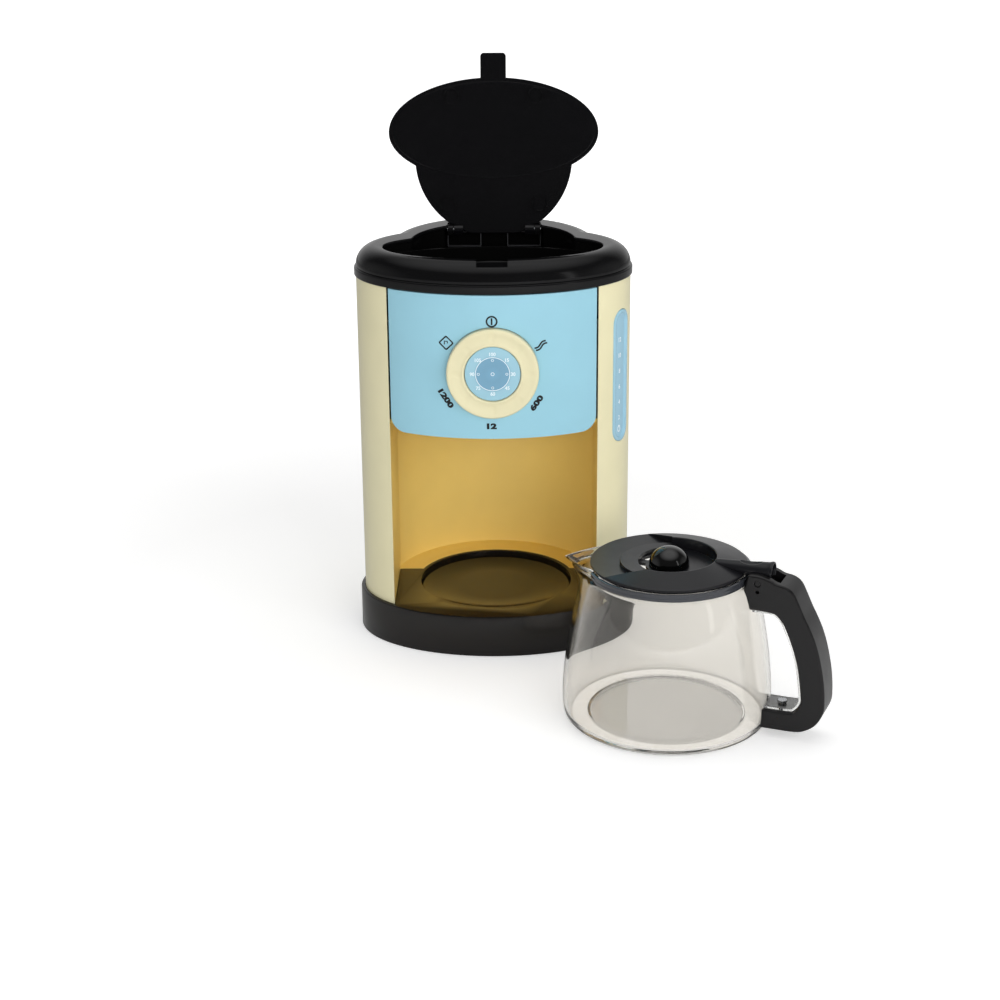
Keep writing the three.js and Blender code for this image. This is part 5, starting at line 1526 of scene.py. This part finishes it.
@dataclass
class Jug:
    """The clear jug with its neck band and handle."""

    frame: JugFrame = field(default_factory=JugFrame)
    radius: float = 55.05
    height: float = 84.2
    wall: float = 2.0
    neck: float = 41.3
    spout_reach: float = 17.0
    spout_half: float = 33.0
    spout_start: float = 0.8
    spout_drop: float = 0.035
    floor_share: float = 0.036
    foot_share: float = 0.754
    neck_share: float = 0.957
    round_steps: int = 144
    radius_shares: tuple[float, ...] = (0.918, 0.958, 0.987, 1, 0.995, 0.969, 0.926, 0.875, 0.807)
    height_shares: tuple[float, ...] = (0, 0.014, 0.047, 0.13, 0.261, 0.43, 0.61, 0.772, 0.93)
    band_wall: float = 1.3
    band_low: float = 80.9
    band_high: float = 84.8
    band_spout_half: float = 38.0
    handle_reach: float = 87.12
    handle_height: float = 88.6
    handle_width: float = 19.0
    handle_round: float = 1.7
    hinge_x: float = 49.9
    hinge_z: float = 84.3
    hinge_bore: float = 1.7
    screw_x: float = 50.0
    screw_z: float = 79.9
    screw_bore: float = 1.0
    over: float = 99.0
    slot_half: float = 5.7
    slot_end: float = 61.0
    slot_floor: float = 75.5
    liner: float = 1.2
    liner_half: float = 7.4
    handle_outer: tuple[Point, ...] = (
        (0.512, 0.999), (0.584, 0.999), (0.644, 0.984), (0.684, 0.966), (0.744, 0.954), (0.787, 0.925),
        (0.817, 0.872), (0.856, 0.79), (0.895, 0.716), (0.93, 0.638), (0.963, 0.53), (0.99, 0.395), (1, 0.27),
        (0.994, 0.2), (0.953, 0.121), (0.892, 0.075), (0.828, 0.056), (0.7, 0.053), (0.55, 0.052),
    )
    handle_inner: tuple[Point, ...] = (
        (0.55, 0.172), (0.776, 0.173), (0.823, 0.19), (0.854, 0.237), (0.855, 0.29), (0.838, 0.417),
        (0.818, 0.512), (0.783, 0.614), (0.739, 0.713), (0.695, 0.767), (0.643, 0.784), (0.46, 0.784),
    )

    def profile(self, grow: float, steps: int = 6) -> list[Point]:
        """Returns the outside of the jug from the foot to the rim."""
        points = [
            (share * self.radius + grow, up * self.height)
            for share, up in zip(self.radius_shares, self.height_shares)
        ]
        points += [(self.neck + grow, self.neck_share * self.height), (self.neck + grow, self.height - 0.4)]
        return smooth_line(points, steps)

    def swollen(self, radius: float, z: float, angle: float) -> Vector:
        """Draws a point of the wall out towards the spout."""
        away = abs(angle - math.pi) / math.radians(self.spout_half)
        beak = (1 - away) ** 1.35 if away < 1 and radius > 0 else 0.0
        share = min(max((z / self.height - self.spout_start) / 0.2, 0.0), 1.0) ** 1.6
        reach = radius + self.spout_reach * beak * share
        drop = self.spout_drop * self.height * beak * share
        return Vector((reach * math.cos(angle), reach * math.sin(angle), z - drop))

    def body_shape(self) -> Shape:
        """Builds the jug's wall, rim, floor and foot."""
        outside = self.profile(0)
        floor = self.floor_share * self.height
        foot = self.foot_share * self.radius
        inside = [p for p in self.profile(-self.wall) if p[1] > floor + 2.0][::-1]
        corner = inside[-1][0]
        rim = [
            (self.neck - 0.3, self.height - 0.08), (self.neck - 1.0, self.height),
            (self.neck - 1.7, self.height - 0.08),
        ]
        under = [
            (3.0, 1.3), (12.0, 1.3), (22.0, 1.3), (foot - 6, 1.3), (foot - 1.4, 1.2), (foot - 0.6, 0.8),
            (foot, 0.15), (foot + 0.6, 0.0),
        ]
        bowl = [
            (corner - 0.5, floor + 0.9), (corner - 1.3, floor + 0.3), (corner - 2.6, floor), (foot - 2, floor),
            (32.0, floor), (22.0, floor), (12.0, floor), (3.0, floor),
        ]
        steps = self.round_steps
        rings = []
        for radius, z in [*under, *outside, *rim, *inside, *bowl]:
            rings.append([self.swollen(radius, z, 2 * math.pi * i / steps) for i in range(steps)])
        return Shape().loft(rings)

    def filler_shape(self, grow: float) -> Shape:
        """Builds the jug's outside as a solid, to cut what stands against it."""
        foot = self.radius * self.radius_shares[0] + grow
        return Shape().turn([(0, -1), (foot, -1), *self.profile(grow), (self.neck + grow, 95), (0, 95)])

    def band_shape(self) -> Shape:
        """Builds the band round the neck, open at the spout."""
        inner = self.neck + GAP
        outer = inner + self.band_wall
        low, high = self.band_low, self.band_high
        profile = [
            (inner, low), (outer - 0.4, low), (outer - 0.1, low + 0.1), (outer, low + 0.5), (outer, low + 1.7),
            (outer - 0.15, low + 2.0), (outer - 0.05, low + 2.3), (outer, high - 0.5), (outer - 0.1, high - 0.12),
            (outer - 0.4, high), (inner, high),
        ]
        half = self.band_spout_half
        return Shape().turn(profile, 120, 360 - 2 * half, half - 180)

    def handle_path(self, shares: Sequence[Point], steps: int) -> list[Point]:
        """Returns one edge of the handle as a smooth line."""
        points = [(x * self.handle_reach, z * self.handle_height) for x, z in shares]
        return smooth_line(points, steps)

    def handle_shape(self) -> Shape:
        """Builds the handle and cuts it to the jug, the band and the lid's lug."""
        edge = self.handle_path(self.handle_outer, 4) + self.handle_path(self.handle_inner, 4)
        half = self.handle_width / 2
        shape = Shape().wall(edge, -half, half)
        shape.rounded(self.handle_round, 4, 60)
        shape.work(self.filler_shape(GAP))
        collar = self.neck + GAP + self.band_wall + GAP
        shape.work(Shape().turn([
            (0, self.slot_floor), (collar, self.slot_floor), (collar, self.over), (0, self.over),
        ]))
        shape.work(Shape().block((0, -self.slot_half, self.slot_floor), (self.slot_end, self.slot_half, self.over)))
        for radius, x, z in (
            (self.hinge_bore, self.hinge_x, self.hinge_z), (self.screw_bore, self.screw_x, self.screw_z),
        ):
            shape.work(Shape().rod(radius, (x, -20, z), (x, 20, z)))
        return shape

    def liner_shape(self) -> Shape:
        """Builds the clear strip inside the grip."""
        path = self.handle_path(self.handle_inner, 4)
        outline = beside(path, GAP) + beside(path, GAP + self.liner)[::-1]
        shape = Shape().wall(outline, -self.liner_half, self.liner_half)
        return shape.work(self.filler_shape(GAP))

    def build(self) -> None:
        """Makes the jug's pieces."""
        stand = self.frame.matrix()
        place(self.body_shape().move(stand), Piece(
            "jug_vessel", Body.JUG, Slot.JUG_CLEAR, JUG_CLEAR, ("jug_body",), crease=60,
        ))
        # The gloss black band wears a grey: painted sheen.
        place(self.band_shape().move(stand), Piece(
            "band_ring", Body.JUG, Slot.GLOSS_BLACK, BAND_PAINTED_SHEEN, ("neck_band",), crease=50,
        ))
        place(self.handle_shape().move(stand), Piece(
            "handle_grip", Body.JUG, Slot.HANDLE_BLACK, HANDLE_BLACK, ("jug_handle",), edge=0.3, crease=45,
        ))
        place(self.liner_shape().move(stand), Piece(
            "grip_strip", Body.JUG, Slot.JUG_CLEAR, LINER_CLEAR, ("handle_liner",), edge=0.2, crease=45,
        ))
        dress(STEEL, "handle_screw")
        dress(HANDLE_BLACK, "jug_hinge_pin")


@dataclass
class JugLid:
    """The jug's lid with its recess, its knob and its lever."""

    frame: JugFrame = field(default_factory=JugFrame)
    radius: float = 41.0
    edge_z: float = 85.2
    edge_top: float = 86.6
    crest_z: float = 90.4
    recess: float = 24.4
    floor_z: float = 84.4
    skirt: float = 38.4
    skirt_wall: float = 1.6
    skirt_z: float = 79.6
    wall: float = 1.6
    step_points: tuple[Point, ...] = (
        (-5.7, -25.4), (-22.5, -32.8), (-49.2, -45.1), (-49.2, 45.1), (-18.9, 32.0), (-6.2, 25.4),
    )
    arm_axis: float = 88.3
    knob_radius: float = 10.5
    knob_height: float = 9.9
    knob_foot: float = 0.3
    knob_steps: int = 16
    drain: Point = (12.2, 16.5)
    crescent: float = 25.6
    dimple_at: tuple[float, float, float] = (43.5, 0.0, 93.7)
    dimple_size: tuple[float, float, float] = (6.8, 4.0, 3.0)
    lug_box: tuple[Point, Point] = ((45.8, -4.9), (53.8, 4.9))
    under: float = 60.0
    over: float = 99.0

    def plate_shape(self) -> Shape:
        """Builds the raised plate, its recess and the skirt."""
        inner, skirt = self.skirt - self.skirt_wall, self.skirt
        edge, crest, bottom = self.radius, self.crest_z, self.skirt_z
        profile = [
            (self.recess, self.floor_z - self.wall), (self.recess, crest - 0.7), (self.recess + 0.15, crest - 0.3),
            (self.recess + 0.5, crest - 0.05), (self.recess + 1.0, crest - 0.08),
            (edge - 0.9, self.edge_top + 0.1), (edge - 0.3, self.edge_top - 0.12), (edge, self.edge_top - 0.5),
            (edge, self.edge_z + 0.2), (edge - 0.2, self.edge_z), (skirt, self.edge_z),
            (skirt, bottom + 0.3), (skirt - 0.3, bottom), (inner + 0.3, bottom),
            (inner, bottom + 0.3), (inner, self.edge_z - 1.2), (self.recess + 1.6, self.floor_z - self.wall),
        ]
        return Shape().turn(profile, 144).work(self.step_cutter())

    def step_cutter(self) -> Shape:
        """Builds the shape that lowers the lid towards the spout."""
        reach = self.radius + 2
        region = Shape().slab(self.step_points, 80, self.over)
        above = Shape().turn([(0, 85.0), (26, 85.2), (reach, 86.5), (reach, self.over), (0, self.over)], 144)
        return region.work(above, Cut.KEEP)

    def floor_shape(self) -> Shape:
        """Builds the recess floor with its drains and the crescent step."""
        top, low = self.floor_z, self.floor_z - self.wall
        shape = Shape().turn([(0, low), (self.recess + 0.1, low), (self.recess + 0.1, top), (0, top)], 96)
        near, far = self.drain
        drain = Shape().turn([(near, 70), (far, 70), (far, self.over), (near, self.over)], 96)
        drain.work(Shape().block((0, -60, self.under), (60, 60, 120)))
        drain.work(Shape().block((-60, -2.2, self.under), (60, 2.2, 120)))
        shape.work(drain)
        rim = self.crescent
        crescent = Shape().turn([(0, top), (rim, top), (rim, 86.7), (rim - 0.3, 87.0), (0, 86.1)], 96)
        crescent.work(Shape().rod(20.6, (4.2, 1.4, 70), (4.2, 1.4, self.over), 96))
        crescent.work(Shape().block((-4, -60, self.under), (60, 60, 120)))
        return shape.add(crescent)

    def lever_shape(self) -> Shape:
        """Builds the lever with its thumb dimple, flared end and lug."""
        lever = Shape().turn([
            (0, 25.0), (2.7, 25.0), (3.2, 26.0), (4.0, 40.0), (4.75, 51.5), (4.9, 53.2), (5.25, 54.2), (5.4, 55.1),
            (5.2, 55.7), (4.7, 55.8), (4.2, 55.3), (3.9, 54.2), (3.7, 50.0), (0, 49.5),
        ], 64)
        lever.move(Matrix.Translation((0, 0, self.arm_axis)) @ Matrix.Rotation(math.pi / 2, 4, "Y"))
        lever.work(Shape().block((20, -20, 70), (70, 20, self.edge_z + 0.3)))
        dimple = Shape()
        bmesh.ops.create_uvsphere(dimple.mesh, u_segments=48, v_segments=24, radius=1.0)
        dimple.move(Matrix.Translation(self.dimple_at) @ Matrix.Diagonal((*self.dimple_size, 1)))
        lever.work(dimple)
        near, far = self.lug_box
        return lever.block((*near, 82), (*far, self.edge_z + 1.5))

    def knob_shape(self) -> Shape:
        """Builds the glossy knob."""
        low, foot = self.floor_z + GAP, self.knob_foot
        profile = [(0, low), (self.knob_radius - foot, low), (self.knob_radius, low + foot)]
        for i in range(1, self.knob_steps + 1):
            angle = math.pi / 2 * i / self.knob_steps
            up = low + foot + (self.knob_height - foot) * math.sin(angle)
            profile.append((self.knob_radius * math.cos(angle), up))
        profile[-1] = (0, profile[-1][1])
        return Shape().turn(profile, 96)

    def build(self) -> None:
        """Makes the lid's pieces."""
        stand = self.frame.matrix()
        shape = self.plate_shape()
        shape.add(self.floor_shape())
        shape.add(self.lever_shape())
        place(shape.move(stand), Piece(
            "jug_cover", Body.JUG_LID, Slot.HANDLE_BLACK, JUG_LID_BLACK, ("jug_lid",), edge=0.2, crease=45,
        ))
        place(self.knob_shape().move(stand), Piece(
            "cover_knob", Body.JUG_LID, Slot.KNOB_BLACK, KNOB_BLACK, ("lid_knob",),
        ))


@dataclass
class Studio:
    """The pale floor, the soft lights and the camera."""

    focal: float = 2.060
    pitch: float = 0.347
    roll: float = -0.0085
    heading: float = -0.013
    eye: tuple[float, float, float] = (0.0173, -1.1212, 0.4805)
    sensor: float = 36.0
    floor_grey: float = 0.86
    glow_span: Point = (0.25, 1.1)
    glow_near: float = 0.42
    room_level: float = 0.3
    room_gloss: float = 0.1
    ceiling_gloss: float = 1.3
    ceiling_zone: Point = (0.7, 0.95)
    side_gloss: float = 0.45
    side_zone: Point = (0.8, 0.97)
    rear_gloss: float = 0.68
    rear_zone: Point = (0.45, 0.85)
    target: tuple[float, float, float] = (0.03, -0.05, 0.12)

    def camera(self) -> None:
        """Sets the camera at the photograph's place and angle."""
        flat = Vector((math.sin(self.heading), math.cos(self.heading), 0))
        ahead = flat * math.cos(self.pitch) - Vector((0, 0, math.sin(self.pitch)))
        above = flat * math.sin(self.pitch) + Vector((0, 0, math.cos(self.pitch)))
        aside = Vector((math.cos(self.heading), -math.sin(self.heading), 0))
        right = aside * math.cos(self.roll) + above * math.sin(self.roll)
        up = above * math.cos(self.roll) - aside * math.sin(self.roll)
        lens = bpy.data.cameras.new("camera")
        lens.sensor_width = self.sensor
        lens.lens = self.focal * self.sensor
        lens.clip_end = 20
        holder = bpy.data.objects.new("camera", lens)
        turn = Matrix((right, up, -ahead)).transposed().to_4x4()
        holder.matrix_world = Matrix.Translation(self.eye) @ turn
        bpy.context.scene.collection.objects.link(holder)
        bpy.context.scene.camera = holder

    def lamp(
        self, name: str, at: Sequence[float], towards: Sequence[float], size: Point, power: float,
        mirrored: bool = True,
    ) -> None:
        """Adds a soft rectangular lamp.

        Args:
            name: The lamp's name.
            at: Its place in metres.
            towards: What it faces.
            size: Its width and height.
            power: Its power in watts.
            mirrored: Whether glossy surfaces show it.
        """
        light = bpy.data.lights.new(name, "AREA")
        light.shape = "RECTANGLE"
        light.size, light.size_y = size
        light.energy = power
        holder = bpy.data.objects.new(name, light)
        holder.location = at
        holder.rotation_euler = (Vector(towards) - Vector(at)).to_track_quat("-Z", "Y").to_euler()
        holder.visible_glossy = mirrored
        holder.visible_transmission = mirrored
        bpy.context.scene.collection.objects.link(holder)

    def floor(self) -> None:
        """Lays the pale floor."""
        shape = Shape()
        bmesh.ops.create_grid(shape.mesh, x_segments=8, y_segments=8, size=4.0)
        mesh = bpy.data.meshes.new("floor")
        shape.mesh.to_mesh(mesh)
        shape.mesh.free()
        holder = bpy.data.objects.new("floor", mesh)
        bpy.context.scene.collection.objects.link(holder)
        recipe = Recipe("floor_paper")
        recipe.fix({"Base Color": (*[self.floor_grey] * 3, 1), "Roughness": 0.9, "Specular IOR Level": 0.1})
        away = recipe.node("ShaderNodeVectorMath", operation="LENGTH")
        recipe.link(recipe.place, away.inputs[0])
        glow = recipe.node("ShaderNodeEmission")
        paling = recipe.node("ShaderNodeMapRange")
        near, far = self.glow_span
        for name, value in (("From Min", near), ("From Max", far), ("To Min", self.glow_near), ("To Max", 1.0)):
            paling.inputs[name].default_value = value
        recipe.link(away.outputs["Value"], paling.inputs["Value"])
        seen = recipe.node("ShaderNodeMath", operation="MULTIPLY")
        recipe.link(paling.outputs["Result"], seen.inputs[0])
        recipe.link(self.background_rays(recipe.node), seen.inputs[1])
        recipe.link(seen.outputs["Value"], glow.inputs["Strength"])
        both = recipe.node("ShaderNodeAddShader")
        recipe.link(recipe.surface.outputs["BSDF"], both.inputs[0])
        recipe.link(glow.outputs["Emission"], both.inputs[1])
        recipe.link(both.outputs["Shader"], recipe.output.inputs["Surface"])
        mesh.materials.append(recipe.material)

    def sky(self) -> None:
        """Lights the room softly and shows white behind the object."""
        world = bpy.data.worlds.new("room")
        bpy.context.scene.world = world
        world.use_nodes = True
        tree = world.node_tree
        tree.nodes.clear()
        link = tree.links.new

        def node(kind: str, **settings: object) -> bpy.types.Node:
            """Adds a node and sets its own settings."""
            made = tree.nodes.new(kind)
            for name, value in settings.items():
                setattr(made, name, value)
            return made

        output = node("ShaderNodeOutputWorld")
        room = node("ShaderNodeBackground")
        white = node("ShaderNodeBackground")
        white.inputs["Color"].default_value = (1, 1, 1, 1)
        path = node("ShaderNodeLightPath")
        level = node("ShaderNodeMapRange")
        level.inputs["To Min"].default_value = self.room_level
        link(path.outputs["Is Glossy Ray"], level.inputs["Value"])
        link(level.outputs["Result"], room.inputs["Strength"])
        parts = node("ShaderNodeSeparateXYZ")
        link(node("ShaderNodeTexCoord").outputs["Generated"], parts.inputs["Vector"])
        aside = node("ShaderNodeMath", operation="ABSOLUTE")
        link(parts.outputs["X"], aside.inputs[0])
        brighter = node("ShaderNodeMath", operation="MAXIMUM")
        for i, (source, (start, end), most) in enumerate((
            (parts.outputs["Z"], self.ceiling_zone, self.ceiling_gloss),
            (aside.outputs["Value"], self.side_zone, self.side_gloss),
        )):
            zone = node("ShaderNodeMapRange")
            settings = {"From Min": start, "From Max": end, "To Min": self.room_gloss, "To Max": most}
            for name, value in settings.items():
                zone.inputs[name].default_value = value
            link(source, zone.inputs["Value"])
            link(zone.outputs["Result"], brighter.inputs[i])
        link(brighter.outputs["Value"], level.inputs["To Max"])
        behind = node("ShaderNodeMapRange")
        behind.inputs["From Min"].default_value, behind.inputs["From Max"].default_value = self.rear_zone
        behind.inputs["To Max"].default_value = self.rear_gloss
        link(parts.outputs["Y"], behind.inputs["Value"])
        mirrored = node("ShaderNodeMath", operation="MULTIPLY")
        link(behind.outputs["Result"], mirrored.inputs[0])
        link(path.outputs["Is Glossy Ray"], mirrored.inputs[1])
        share = node("ShaderNodeMath", operation="MAXIMUM")
        link(self.background_rays(node), share.inputs[0])
        link(mirrored.outputs["Value"], share.inputs[1])
        mix = node("ShaderNodeMixShader")
        link(share.outputs["Value"], mix.inputs["Fac"])
        link(room.outputs["Background"], mix.inputs[1])
        link(white.outputs["Background"], mix.inputs[2])
        link(mix.outputs["Shader"], output.inputs["Surface"])

    def background_rays(self, node: Callable[..., bpy.types.Node]) -> bpy.types.NodeSocket:
        """Adds the nodes that tell rays from the camera or through clear plastic.

        Args:
            node: The call that adds a node to the tree.

        Returns:
            A socket that is one for those rays.
        """
        path = node("ShaderNodeLightPath")
        either = node("ShaderNodeMath", operation="MAXIMUM")
        tree = either.id_data
        tree.links.new(path.outputs["Is Camera Ray"], either.inputs[0])
        tree.links.new(path.outputs["Is Transmission Ray"], either.inputs[1])
        return either.outputs["Value"]

    def build(self) -> None:
        """Sets up the studio."""
        self.camera()
        self.floor()
        self.sky()
        target = self.target
        self.lamp("key_lamp", (1.2, -1.6, 0.95), target, (1.5, 1.5), 17, mirrored=False)
        self.lamp("strip_lamp", (1.5, -1.3, 0.7), target, (0.22, 1.3), 1.2)
        self.lamp("front_lamp", (0.1, -1.9, 0.5), (0.0, 0.0, 0.08), (1.2, 0.8), 13.5, mirrored=False)
        self.lamp("left_lamp", (-1.2, -0.9, 0.9), target, (1.0, 1.2), 2, mirrored=False)
        self.lamp("top_lamp", (0.2, 0.3, 2.1), target, (2.2, 1.6), 14, mirrored=False)
        bpy.context.scene.view_settings.view_transform = "Standard"


def main() -> None:
    """Builds every sub-assembly in order and sets up the studio."""
    logging.basicConfig(level=logging.INFO, format="%(message)s")
    for part in (
        Base(), Shell(), FrontPanel(), Dial(), TopCap(), WaterTank(), TankLid(), Jug(), JugLid(), Studio(),
    ):
        part.build()
        LOG.info("%s done", type(part).__name__)


if __name__ == "__main__":
    main()
